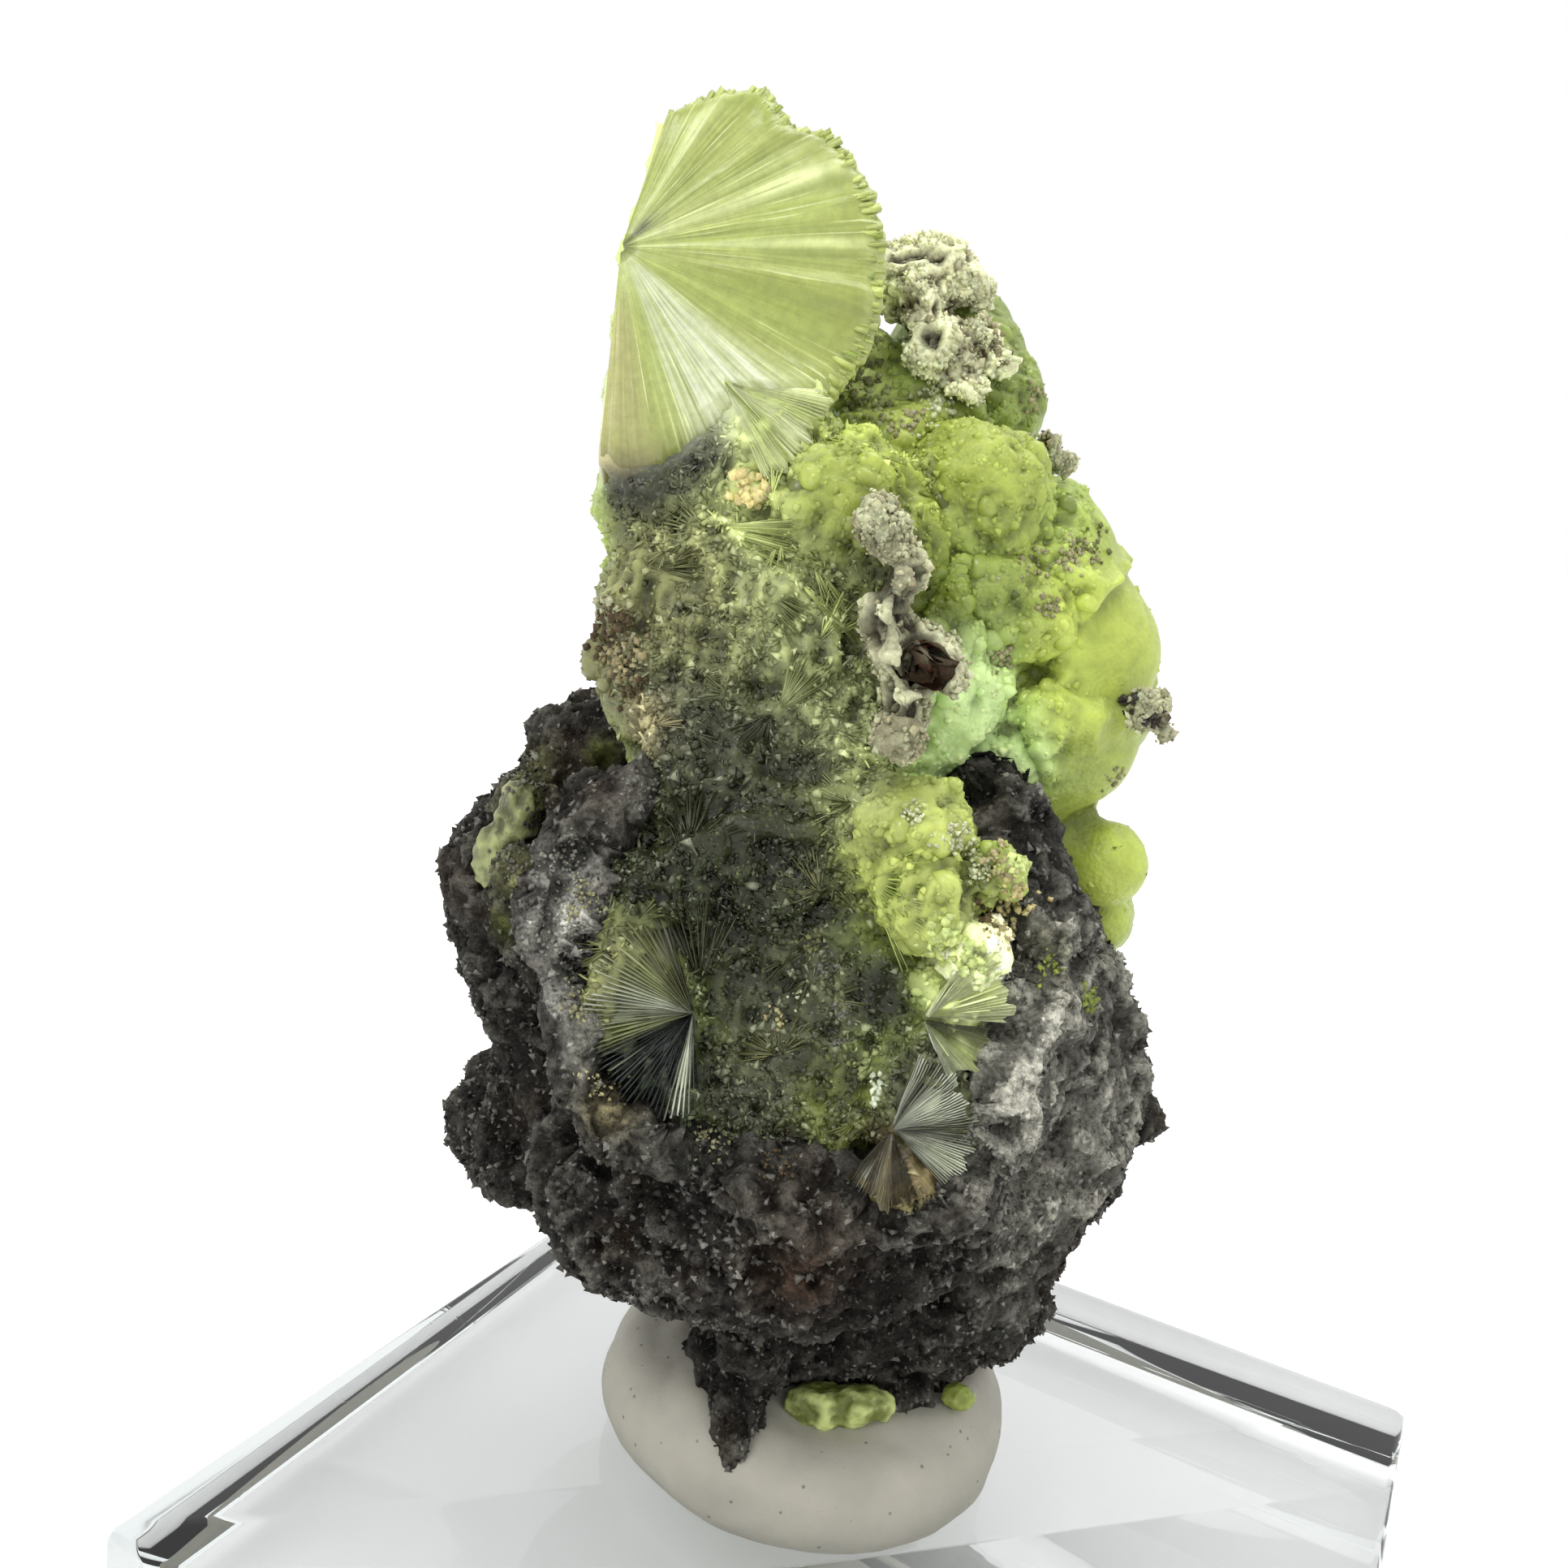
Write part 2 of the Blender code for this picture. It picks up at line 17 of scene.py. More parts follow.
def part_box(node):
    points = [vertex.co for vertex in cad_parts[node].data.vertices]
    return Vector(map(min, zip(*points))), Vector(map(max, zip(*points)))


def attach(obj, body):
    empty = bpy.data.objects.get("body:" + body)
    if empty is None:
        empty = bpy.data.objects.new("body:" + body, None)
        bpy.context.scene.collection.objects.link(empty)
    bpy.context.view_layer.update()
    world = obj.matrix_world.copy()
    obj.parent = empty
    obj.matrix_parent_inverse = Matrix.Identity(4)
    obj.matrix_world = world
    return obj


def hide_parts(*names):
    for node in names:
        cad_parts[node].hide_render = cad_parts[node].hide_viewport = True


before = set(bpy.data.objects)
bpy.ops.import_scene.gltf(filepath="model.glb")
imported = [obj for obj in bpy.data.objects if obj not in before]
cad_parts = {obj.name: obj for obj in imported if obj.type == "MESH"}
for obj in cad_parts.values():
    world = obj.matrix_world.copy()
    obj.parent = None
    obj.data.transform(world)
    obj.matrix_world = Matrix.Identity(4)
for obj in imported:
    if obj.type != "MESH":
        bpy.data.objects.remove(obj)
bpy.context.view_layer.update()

MM = 0.001

# Sizes in mm of the small faces that the dense skins are made of
WAVELLITE_VOXEL = 0.165
ROCK_VOXEL = 0.166
CRUST_VOXEL = 0.09
KNOB_VOXEL = 0.07
PATCH_VOXEL = 0.09

# How far the rock is drawn to the wavellite, and how deep it then reaches into it, in mm
MEET_REACH = 1.0
MEET_OVERLAP = 0.12

SLAB_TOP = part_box("acrylic_base")[1].z / MM
FACE_TURN = math.radians(25.0)
FACE_LEAN = math.radians(16.0)
RNG = np.random.default_rng(7)

# The photograph's camera: place in face-frame mm, tilts in degrees, focal length in photo pixels
PHOTO_SIDE = 1932
FOCAL_PIXELS = 1857.0
SENSOR_MM = 36.0
CAMERA_PLACE = np.array((-5.5, -43.3, 31.5))
CAMERA_PITCH = 12.4
CAMERA_ROLL = 8.4


# Colours as they look in daylight, from 0 to 255


def linear(red, green, blue):
    """An sRGB colour from 0 to 255 as the linear values that shaders take."""
    values = np.array((red, green, blue), float) / 255.0
    return np.where(values <= 0.04045, values / 12.92, ((values + 0.055) / 1.055) ** 2.4)


LIME = linear(164, 184, 90)
YELLOW_LIME = linear(174, 188, 86)
# Dark, deep lime: painted shade for the creases and hollows of the mass
CREASE_SHADE_LIME = linear(84, 96, 18)
PALE_LIME = linear(206, 218, 140)
CREAM_LIME = linear(240, 248, 186)
FAN_LIME = linear(198, 209, 120)
FAN_OLIVE = linear(142, 152, 72)
MINT = linear(196, 222, 150)
SILVER = linear(222, 228, 200)
OLIVE = linear(134, 144, 68)
OLIVE_GREY = linear(112, 114, 74)
PALE_OLIVE = linear(150, 157, 106)
SMOKE = linear(66, 68, 48)
NIGHT_OLIVE = linear(36, 39, 22)
TEAL_BLACK = linear(22, 29, 24)
TAN = linear(176, 166, 124)
BROWN = linear(88, 76, 52)
PEACH = linear(212, 196, 138)
AMBER = linear(44, 26, 4)
ROCK_HIGH = linear(114, 113, 104)
ROCK_MID = linear(60, 57, 52)
ROCK_LOW = linear(16, 15, 13)
ROCK_BROWN = linear(60, 42, 28)
ROCK_PALE = linear(176, 175, 166)
CRUST_HIGH = linear(204, 205, 168)
CRUST_MID = linear(154, 150, 114)
CRUST_LOW = linear(62, 50, 32)
VUG_LIME = linear(152, 162, 84)
PUTTY_GREY = linear(174, 171, 158)
PUTTY_SPECK = linear(96, 88, 78)
PUTTY_GRAIN = linear(150, 145, 132)
WHITE = (1.0, 1.0, 1.0, 1.0)
MINERAL_IOR = 1.54


# The face frame and the photograph's camera

TURN = np.array(Matrix.Rotation(FACE_TURN, 3, "Z"))


def to_row(points):
    """Face-frame mm to row-frame metres."""
    return (np.asarray(points, float) @ TURN.T + (0.0, 0.0, SLAB_TOP)) * MM


def to_face(points):
    """Row-frame metres to face-frame mm."""
    return (np.asarray(points, float) / MM - (0.0, 0.0, SLAB_TOP)) @ TURN


def camera_axes():
    """Right, up and forward of the photograph's camera, in the face frame."""
    pitch = math.radians(CAMERA_PITCH)
    roll = math.radians(CAMERA_ROLL)
    forward = np.array((0.0, math.cos(pitch), -math.sin(pitch)))
    level_right = np.array((1.0, 0.0, 0.0))
    level_up = np.cross(level_right, forward)
    right = math.cos(roll) * level_right + math.sin(roll) * level_up
    up = -math.sin(roll) * level_right + math.cos(roll) * level_up
    return right, up, forward


RIGHT, UP, FORWARD = camera_axes()


def add_to_scene(name, data):
    thing = bpy.data.objects.new(name, data)
    bpy.context.scene.collection.objects.link(thing)
    return thing


def make_camera():
    data = bpy.data.cameras.new("camera")
    data.sensor_width = SENSOR_MM
    data.lens = SENSOR_MM * FOCAL_PIXELS / PHOTO_SIDE
    data.clip_start = 0.001
    camera = add_to_scene("camera", data)
    axes = np.stack((RIGHT, UP, -FORWARD), axis=1)
    turned = TURN @ axes
    place = Matrix(turned.tolist()).to_4x4()
    place.translation = Vector(to_row(CAMERA_PLACE).tolist())
    camera.matrix_world = place
    bpy.context.scene.camera = camera


def photo_ray(u, v):
    """Start and direction, in the face frame, of the line of sight through a photo pixel."""
    middle = PHOTO_SIDE / 2.0
    direction = FORWARD + RIGHT * (u - middle) / FOCAL_PIXELS - UP * (v - middle) / FOCAL_PIXELS
    return CAMERA_PLACE, direction / np.linalg.norm(direction)


def photo_spot(tree, u, v):
    """The point, in face-frame mm, where a photo pixel lands on a surface, or None."""
    start, direction = photo_ray(u, v)
    hit = tree.ray_cast(Vector(start.tolist()), Vector(direction.tolist()))[0]
    return None if hit is None else np.array(hit)


# Repeatable noise


def grid_random(i, j, k, seed):
    """Random numbers from 0 to 1 that belong to whole-numbered grid cells."""
    mixed = (i * 73856093) ^ (j * 19349663) ^ (k * 83492791) ^ (seed * 15485863)
    mixed = (mixed ^ (mixed >> 13)) * 1274126177 & 0x7FFFFFFF
    mixed = (mixed ^ (mixed >> 16)) * 668265263 & 0x7FFFFFFF
    return (mixed >> 7 & 0xFFFFF) / float(0xFFFFF)


def noise(points, size, seed):
    """Smooth noise from -1 to 1 with features of this size in mm."""
    scaled = points / size
    cell = np.floor(scaled).astype(np.int64)
    part = scaled - cell
    part = part * part * (3.0 - 2.0 * part)
    total = np.zeros(len(points))
    for di in (0, 1):
        for dj in (0, 1):
            for dk in (0, 1):
                weight = (
                    (part[:, 0] if di else 1.0 - part[:, 0])
                    * (part[:, 1] if dj else 1.0 - part[:, 1])
                    * (part[:, 2] if dk else 1.0 - part[:, 2])
                )
                total += weight * grid_random(cell[:, 0] + di, cell[:, 1] + dj, cell[:, 2] + dk, seed)
    return total * 2.0 - 1.0


def octaves(points, size, layers, seed, bend):
    """Noise of several sizes, each half the one before and bent by a rule, from about -1 to 1."""
    total = np.zeros(len(points))
    strength = 1.0
    reach = 0.0
    for layer in range(layers):
        total += strength * bend(noise(points, size / 2**layer, seed + layer))
        reach += strength
        strength *= 0.55
    return total / reach


def layered(points, size, layers, seed):
    """Soft noise of several sizes."""
    return octaves(points, size, layers, seed, lambda value: value)


def ridged(points, size, layers, seed):
    """Noise of several sizes with sharp crests."""
    return octaves(points, size, layers, seed, lambda value: 1.0 - 3.0 * np.abs(value))


def bumps(points, size, seed):
    """Round bumps side by side: height from 0 between them to 1 on top, and a number for each bump."""
    scaled = points / size
    cell = np.floor(scaled).astype(np.int64)
    nearest = np.full(len(points), 9.0)
    label = np.zeros(len(points))
    for di in (-1, 0, 1):
        for dj in (-1, 0, 1):
            for dk in (-1, 0, 1):
                i, j, k = cell[:, 0] + di, cell[:, 1] + dj, cell[:, 2] + dk
                seat = np.stack([grid_random(i, j, k, seed + axis) for axis in range(3)], axis=1)
                seat += np.stack((i, j, k), axis=1)
                distance = np.linalg.norm(scaled - seat, axis=1)
                closer = distance < nearest
                nearest = np.where(closer, distance, nearest)
                label = np.where(closer, grid_random(i, j, k, seed + 9), label)
    return np.sqrt(np.clip(1.0 - (nearest / 0.85) ** 2, 0.0, 1.0)), label


def smooth_step(values, low, high):
    """From 0 at low to 1 at high, flat at both ends."""
    share = np.clip((values - low) / (high - low), 0.0, 1.0)
    return share * share * (3.0 - 2.0 * share)


def hump(values, middle, width, power=2):
    """1 where the values are at the middle, falling off over the width on both sides."""
    return np.exp(-(((values - middle) / width) ** power))


def fade(tint, other, share):
    """Colours that go over to another by a share for each point."""
    share = np.reshape(share, (-1, 1))
    return tint * (1.0 - share) + other * share


# Meshes


class Shape:
    """Points in face-frame mm, triangles, and a colour for each point."""

    def __init__(self, points, triangles, tint):
        self.points = points
        self.triangles = triangles
        self.tint = tint

    def normals(self):
        corner = self.points[self.triangles]
        across = np.cross(corner[:, 1] - corner[:, 0], corner[:, 2] - corner[:, 0])
        total = np.zeros_like(self.points)
        for side in range(3):
            np.add.at(total, self.triangles[:, side], across)
        return total / np.maximum(np.linalg.norm(total, axis=1, keepdims=True), 1e-12)

    def tree(self):
        return BVHTree.FromPolygons(self.points.tolist(), self.triangles.tolist(), all_triangles=True)

    def cavity(self, rounds):
        """How far points lie below their smoothed surroundings, in mm: more in creases, less on lumps."""
        a, b, c = self.triangles.T
        first = np.concatenate((a, b, b, c, c, a))
        second = np.concatenate((b, a, c, b, a, c))
        count = len(self.points)
        share = 1.0 / np.maximum(np.bincount(first, minlength=count), 1)
        smoothed = self.points.copy()
        for _ in range(rounds):
            for axis in range(3):
                near = np.bincount(first, weights=smoothed[second, axis], minlength=count) * share
                smoothed[:, axis] = 0.5 * smoothed[:, axis] + 0.5 * near
        return np.sum((smoothed - self.points) * self.normals(), axis=1)


def join_shapes(shapes):
    points, triangles, tints = [], [], []
    start = 0
    for shape in shapes:
        points.append(shape.points)
        triangles.append(shape.triangles + start)
        tints.append(shape.tint)
        start += len(shape.points)
    return Shape(np.concatenate(points), np.concatenate(triangles), np.concatenate(tints))


def make_piece(name, shape, material, nodes=(), smooth=True):
    """Put a shape in the scene as a piece that rides on the specimen and stands for some CAD nodes."""
    mesh = bpy.data.meshes.new(name)
    mesh.vertices.add(len(shape.points))
    mesh.vertices.foreach_set("co", to_row(shape.points).astype(np.float32).ravel())
    count = len(shape.triangles)
    mesh.loops.add(count * 3)
    mesh.loops.foreach_set("vertex_index", shape.triangles.astype(np.int32).ravel())
    mesh.polygons.add(count)
    mesh.polygons.foreach_set("loop_start", np.arange(0, count * 3, 3, dtype=np.int32))
    mesh.update(calc_edges=True)
    mesh.validate()
    colour = mesh.color_attributes.new("tint", "FLOAT_COLOR", "POINT")
    rgba = np.concatenate((shape.tint, np.ones((len(shape.tint), 1))), axis=1)
    colour.data.foreach_set("color", rgba.astype(np.float32).ravel())
    if smooth:
        mesh.shade_smooth()
    piece = add_to_scene(name, mesh)
    mesh.materials.append(material)
    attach(piece, "root")
    if nodes:
        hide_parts(*nodes)
    return piece


def dense_skin(node, voxel, rounds):
    """A CAD node's surface with fine, even faces, smoothed over its facets."""
    scratch = add_to_scene(node + "_dense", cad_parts[node].data.copy())
    remesh = scratch.modifiers.new("fine", "REMESH")
    remesh.mode = "VOXEL"
    remesh.voxel_size = voxel * MM
    soften = scratch.modifiers.new("soften", "SMOOTH")
    soften.factor = 0.5
    soften.iterations = rounds
    bpy.context.view_layer.update()
    done = scratch.evaluated_get(bpy.context.evaluated_depsgraph_get()).data
    done.calc_loop_triangles()
    points = np.empty(len(done.vertices) * 3)
    done.vertices.foreach_get("co", points)
    triangles = np.empty(len(done.loop_triangles) * 3, dtype=np.int64)
    done.loop_triangles.foreach_get("vertices", triangles)
    used = scratch.data
    bpy.data.objects.remove(scratch, do_unlink=True)
    bpy.data.meshes.remove(used)
    points = to_face(points.reshape(-1, 3))
    return Shape(points, triangles.reshape(-1, 3), np.zeros_like(points))


def neighbours(points, other, reach):
    """A search tree of another shape's points, and the numbers of the points that may be in its reach."""
    tree = KDTree(len(other.points))
    for index, point in enumerate(other.points):
        tree.insert(point, index)
    tree.balance()
    low = other.points.min(axis=0) - reach
    high = other.points.max(axis=0) + reach
    near = np.all((points > low) & (points < high), axis=1)
    return tree, np.nonzero(near)[0]


def gap_to(points, other, reach):
    """Distance in mm from each point to the nearest point of another shape, up to reach."""
    tree, near = neighbours(points, other, reach)
    gaps = np.full(len(points), reach)
    for index in near:
        gaps[index] = min(reach, tree.find(points[index])[2])
    return gaps


def meet(shape, other, reach, overlap):
    """Move a shape's near points up to another shape, so that no gap shows between them."""
    tree, near = neighbours(shape.points, other, reach)
    normals = shape.normals()
    moved = shape.points.copy()
    for index in near:
        found, _, gap = tree.find(shape.points[index])
        if gap > reach:
            continue
        way = (np.array(found) - shape.points[index]) / max(gap, 1e-6)
        if way @ normals[index] < 0.2:
            continue
        share = 1.0 - float(smooth_step(np.array(gap), reach * 0.7, reach))
        moved[index] = shape.points[index] + way * (gap + overlap) * share
    shape.points = moved


def blend_zones(points, zones, default, spread=1.0):
    """Colours that fade between zones, each a point in mm, a radius and a colour."""
    total = np.full((len(points), 1), 0.02)
    colour = default * total
    for centre, radius, tint in zones:
        away = np.linalg.norm(points - centre, axis=1, keepdims=True) / (radius * spread)
        weight = np.exp(-away * away)
        total = total + weight
        colour = colour + tint * weight
    return colour / total


# Small shapes repeated many times


def turned_frames(directions, rolls):
    """For each direction, a 3 x 3 frame whose third axis is the direction, rolled about it."""
    helper = np.where(np.abs(directions[:, 2:3]) < 0.9, (0.0, 0.0, 1.0), (1.0, 0.0, 0.0))
    side = np.cross(helper, directions)
    side /= np.linalg.norm(side, axis=1, keepdims=True)
    other = np.cross(directions, side)
    cos, sin = np.cos(rolls)[:, None], np.sin(rolls)[:, None]
    return np.stack((side * cos + other * sin, other * cos - side * sin, directions), axis=2)


def repeat_shape(corners, faces, places, frames, sizes, tints):
    """Copy a small shape to many places, each with its own frame, three sizes and colour."""
    scaled = corners[None, :, :] * sizes[:, None, :]
    points = np.einsum("nij,nkj->nki", frames, scaled) + places[:, None, :]
    count = len(corners)
    triangles = faces[None, :, :] + (np.arange(len(places)) * count)[:, None, None]
    tint = np.repeat(tints, count, axis=0)
    return Shape(points.reshape(-1, 3), triangles.reshape(-1, 3), tint)


# A three-sided rod along z from 0 to 1, pointed at its start
ROD_CORNERS = np.array(
    (
        (0.0, 0.0, 0.0), (-0.5, -0.2, 0.25), (0.0, 0.5, 0.25), (0.5, -0.2, 0.25),
        (-0.5, -0.2, 0.97), (0.0, 0.5, 1.0), (0.5, -0.2, 0.96),
    )
)
ROD_FACES = np.array(
    (
        (0, 1, 2), (0, 2, 3), (0, 3, 1), (1, 4, 5), (1, 5, 2),
        (2, 5, 6), (2, 6, 3), (3, 6, 4), (3, 4, 1), (4, 6, 5),
    )
)


def rods(starts, ends, out, widths, depths, tints, roll=0.4):
    """Rods from start to end points whose ridge looks the out way, give or take some roll."""
    along = ends - starts
    lengths = np.linalg.norm(along, axis=1)
    along = along / lengths[:, None]
    side = np.cross(out, along)
    side /= np.linalg.norm(side, axis=1, keepdims=True)
    front = np.cross(along, side)
    rolls = RNG.uniform(-roll, roll, len(starts))
    cos, sin = np.cos(rolls)[:, None], np.sin(rolls)[:, None]
    frames = np.stack((side * cos + front * sin, front * cos - side * sin, along), axis=2)
    sizes = np.stack((widths, depths, lengths), axis=1)
    return repeat_shape(ROD_CORNERS, ROD_FACES, starts, frames, sizes, tints)


def ball(level):
    """Corners and faces of an icosphere of radius 1."""
    mesh = bmesh.new()
    bmesh.ops.create_icosphere(mesh, subdivisions=level, radius=1.0)
    corners = np.array([vertex.co[:] for vertex in mesh.verts])
    faces = np.array([[vertex.index for vertex in face.verts] for face in mesh.faces])
    mesh.free()
    return corners, faces


def thin_out(places, spacing):
    """Keep points in order as long as none is nearer to a kept one than its spacing."""
    kept = []
    cells = {}
    size = float(spacing.max())
    for index, place in enumerate(places):
        key = tuple(int(value) for value in np.floor(place / size))
        near = [
            other
            for di in (-1, 0, 1)
            for dj in (-1, 0, 1)
            for dk in (-1, 0, 1)
            for other in cells.get((key[0] + di, key[1] + dj, key[2] + dk), ())
        ]
        if all(math.dist(places[other], place) > spacing[index] for other in near):
            kept.append(index)
            cells.setdefault(key, []).append(index)
    return np.array(kept)


# A chip: four flat faces
CHIP_CORNERS = np.array(((0.6, 0.0, -0.25), (-0.35, 0.5, -0.3), (-0.3, -0.55, -0.2), (0.05, 0.0, 0.6)))
CHIP_FACES = np.array(((0, 2, 1), (0, 1, 3), (1, 2, 3), (2, 0, 3)))
FLATTENED = (1.0, 1.0, 0.6)

# A grain: eight flat faces round a middle
GRAIN_CORNERS = np.array(
    ((0.5, 0, 0.05), (-0.5, 0.05, 0), (0, 0.5, -0.05), (0.05, -0.5, 0), (0, 0, 0.5), (0, 0.05, -0.5))
)
GRAIN_FACES = np.array(
    ((0, 2, 4), (2, 1, 4), (1, 3, 4), (3, 0, 4), (2, 0, 5), (1, 2, 5), (3, 1, 5), (0, 3, 5))
)

# About a full turn in radians
FULL_TURN = 6.28


def random_directions(normals, spread):
    """Directions scattered about the normals: 0 keeps them, 1 goes nearly any way outwards."""
    shaken = normals + RNG.normal(0.0, spread, normals.shape)
    return shaken / np.linalg.norm(shaken, axis=1, keepdims=True)


def pick_points(shape, weights, count):
    """Random points on a shape's triangles, more where the weights of its points are higher."""
    corner = shape.points[shape.triangles]
    area = np.linalg.norm(np.cross(corner[:, 1] - corner[:, 0], corner[:, 2] - corner[:, 0]), axis=1)
    chance = area * weights[shape.triangles].mean(axis=1)
    picked = RNG.choice(len(area), size=count, p=chance / chance.sum())
    share = RNG.random((count, 2))
    flip = share.sum(axis=1) > 1.0
    share[flip] = 1.0 - share[flip]
    chosen = corner[picked]
    places = (
        chosen[:, 0]
        + (chosen[:, 1] - chosen[:, 0]) * share[:, :1]
        + (chosen[:, 2] - chosen[:, 0]) * share[:, 1:]
    )
    first = shape.triangles[picked, 0]
    return places, shape.normals()[first], shape.tint[first]


def scatter(shape, weights, count, spread):
    """Random places on a shape, its normals and colours there, and frames tilted about the normals."""
    places, normals, tints = pick_points(shape, weights, count)
    ways = random_directions(normals, spread)
    return places, normals, tints, turned_frames(ways, RNG.uniform(0.0, FULL_TURN, count))


# Materials


def grey(value):
    return (value, value, value)


class Nodes:
    """A material's node tree, with short calls to add to it."""

    def __init__(self, name):
        self.material = bpy.data.materials.new(name)
        self.material.use_nodes = True
        self.tree = self.material.node_tree
        self.shader = self.tree.nodes["Principled BSDF"]
        self.place = self.add("ShaderNodeTexCoord").outputs["Object"]

    def add(self, kind, **values):
        node = self.tree.nodes.new(kind)
        for key, value in values.items():
            setattr(node, key, value)
        return node

    def link(self, out, into):
        self.tree.links.new(out, into)

    def set(self, **values):
        for key, value in values.items():
            self.shader.inputs[key.replace("_", " ")].default_value = value

    def feed(self, **outputs):
        for key, out in outputs.items():
            self.link(out, self.shader.inputs[key.replace("_", " ")])

    def mottled(self, value, low, high, dark, light):
        """The mesh's own tint, darkened and lightened by a value."""
        tint = self.add("ShaderNodeVertexColor", layer_name="tint").outputs["Color"]
        return self.mix("MULTIPLY", 1.0, tint, self.ramp(value, ((low, grey(dark)), (high, grey(light)))))

    def noise(self, size, detail=3.0, roughness=0.55):
        node = self.add("ShaderNodeTexNoise")
        node.inputs["Scale"].default_value = 1.0 / (size * MM)
        node.inputs["Detail"].default_value = detail
        node.inputs["Roughness"].default_value = roughness
        self.link(self.place, node.inputs["Vector"])
        return node.outputs["Fac"]

    def cells(self, size, output="Distance", feature="F1"):
        node = self.add("ShaderNodeTexVoronoi", feature=feature)
        node.inputs["Scale"].default_value = 1.0 / (size * MM)
        self.link(self.place, node.inputs["Vector"])
        return node.outputs[output]

    def ramp(self, value, stops):
        node = self.add("ShaderNodeValToRGB")
        elements = node.color_ramp.elements
        while len(elements) < len(stops):
            elements.new(0.5)
        for element, (position, colour) in zip(elements, stops):
            element.position = position
            element.color = (*colour, 1.0) if len(colour) == 3 else colour
        self.link(value, node.inputs["Fac"])
        return node.outputs["Color"]

    def spread(self, value, low, high, to_low, to_high):
        node = self.add("ShaderNodeMapRange")
        self.link(value, node.inputs["Value"])
        for key, number in zip(("From Min", "From Max", "To Min", "To Max"), (low, high, to_low, to_high)):
            node.inputs[key].default_value = number
        return node.outputs["Result"]

    def mix(self, kind, share, first, second):
        node = self.add("ShaderNodeMix", data_type="RGBA", blend_type=kind)
        for value, socket in ((share, node.inputs[0]), (first, node.inputs[6]), (second, node.inputs[7])):
            if isinstance(value, (int, float)):
                socket.default_value = value
            elif isinstance(value, (tuple, np.ndarray)):
                socket.default_value = (*value, 1.0)
            else:
                self.link(value, socket)
        return node.outputs[2]

    def bump(self, height, strength, depth, onto=None):
        node = self.add("ShaderNodeBump")
        node.inputs["Strength"].default_value = strength
        node.inputs["Distance"].default_value = depth * MM
        self.link(height, node.inputs["Height"])
        if onto is not None:
            self.link(onto, node.inputs["Normal"])
        return node.outputs["Normal"]


def wavellite_material():
    """Waxy, translucent mineral: mottled tint, sugary bump and pale clouds."""
    n = Nodes("wavellite_waxy")
    mottled = n.mottled(n.noise(0.5, 5.0), 0.3, 0.7, 0.84, 1.1)
    cloudy = n.mix("MIX", n.spread(n.noise(0.16, 3.0), 0.58, 0.78, 0.0, 0.25), mottled, PALE_LIME)
    gloss = n.spread(n.noise(0.3, 4.0), 0.3, 0.7, 0.25, 0.5)
    sugar = n.bump(n.cells(0.16), 0.5, 0.06)
    n.feed(Base_Color=cloudy, Roughness=gloss, Normal=n.bump(n.noise(0.08, 4.0), 0.35, 0.03, sugar))
    n.set(Subsurface_Weight=0.3, Subsurface_Scale=0.0006, Subsurface_Radius=(1.0, 1.0, 0.5))
    n.set(IOR=MINERAL_IOR, Specular_IOR_Level=0.32)
    return n.material


def glassy_nodes(name, mottling, gloss, fine):
    """Crystal faces whose mottling, gloss and fine bump have these sizes in mm, the gloss a range too."""
    n = Nodes(name)
    gloss_size, smoothest, roughest = gloss
    n.feed(
        Base_Color=n.mottled(n.noise(*mottling), 0.3, 0.7, 0.88, 1.08),
        Roughness=n.spread(n.noise(gloss_size, 2.0), 0.3, 0.7, smoothest, roughest),
        Normal=n.bump(n.noise(fine, 3.0), 0.2, 0.02),
    )
    n.set(IOR=MINERAL_IOR, Specular_IOR_Level=0.4)
    return n


def crystal_material():
    """Small frosted crystals with bright glints."""
    return glassy_nodes("wavellite_crystals", (0.2, 3.0), (0.15, 0.12, 0.4), 0.06).material


def fibre_material():
    """Silky fibres: glassy faces over a soft translucent body."""
    n = glassy_nodes("wavellite_silky", (0.25, 4.0), (0.12, 0.16, 0.36), 0.05)
    n.set(Subsurface_Weight=0.25, Subsurface_Scale=0.0005, Subsurface_Radius=(1.0, 1.0, 0.45))
    return n.material


def rock_material():
    """Rough rock: dusty high grains over dark, brownish pits, with small sparkles."""
    n = Nodes("rough_rock")
    speckled = n.mottled(n.noise(0.22, 6.0, 0.75), 0.34, 0.66, 0.3, 2.4)
    dusty = n.mix("MIX", n.spread(n.noise(0.12, 4.0, 0.7), 0.56, 0.68, 0.0, 0.5), speckled, ROCK_HIGH)
    sparkle = n.spread(n.cells(0.2, "Color"), 0.05, 0.2, 0.3, 0.85)
    coarse = n.bump(n.noise(0.28, 6.0, 0.75), 1.0, 0.2)
    n.feed(Base_Color=dusty, Roughness=sparkle, Normal=n.bump(n.noise(0.08, 5.0, 0.7), 0.9, 0.08, coarse))
    n.set(IOR=1.5, Specular_IOR_Level=0.16)
    return n.material


def crust_material():
    """Grainy crust with dark and pale specks."""
    n = Nodes("grainy_crust")
    speckled = n.mottled(n.noise(0.16, 6.0, 0.7), 0.3, 0.7, 0.6, 1.3)
    gloss = n.spread(n.noise(0.1, 3.0), 0.3, 0.7, 0.45, 0.9)
    coarse = n.bump(n.cells(0.2), 0.6, 0.08)
    fine = n.bump(n.noise(0.07, 5.0, 0.7), 0.6, 0.04, coarse)
    n.feed(Base_Color=speckled, Roughness=gloss, Normal=fine)
    n.set(Subsurface_Weight=0.12, Subsurface_Scale=0.0004, Specular_IOR_Level=0.25)
    return n.material


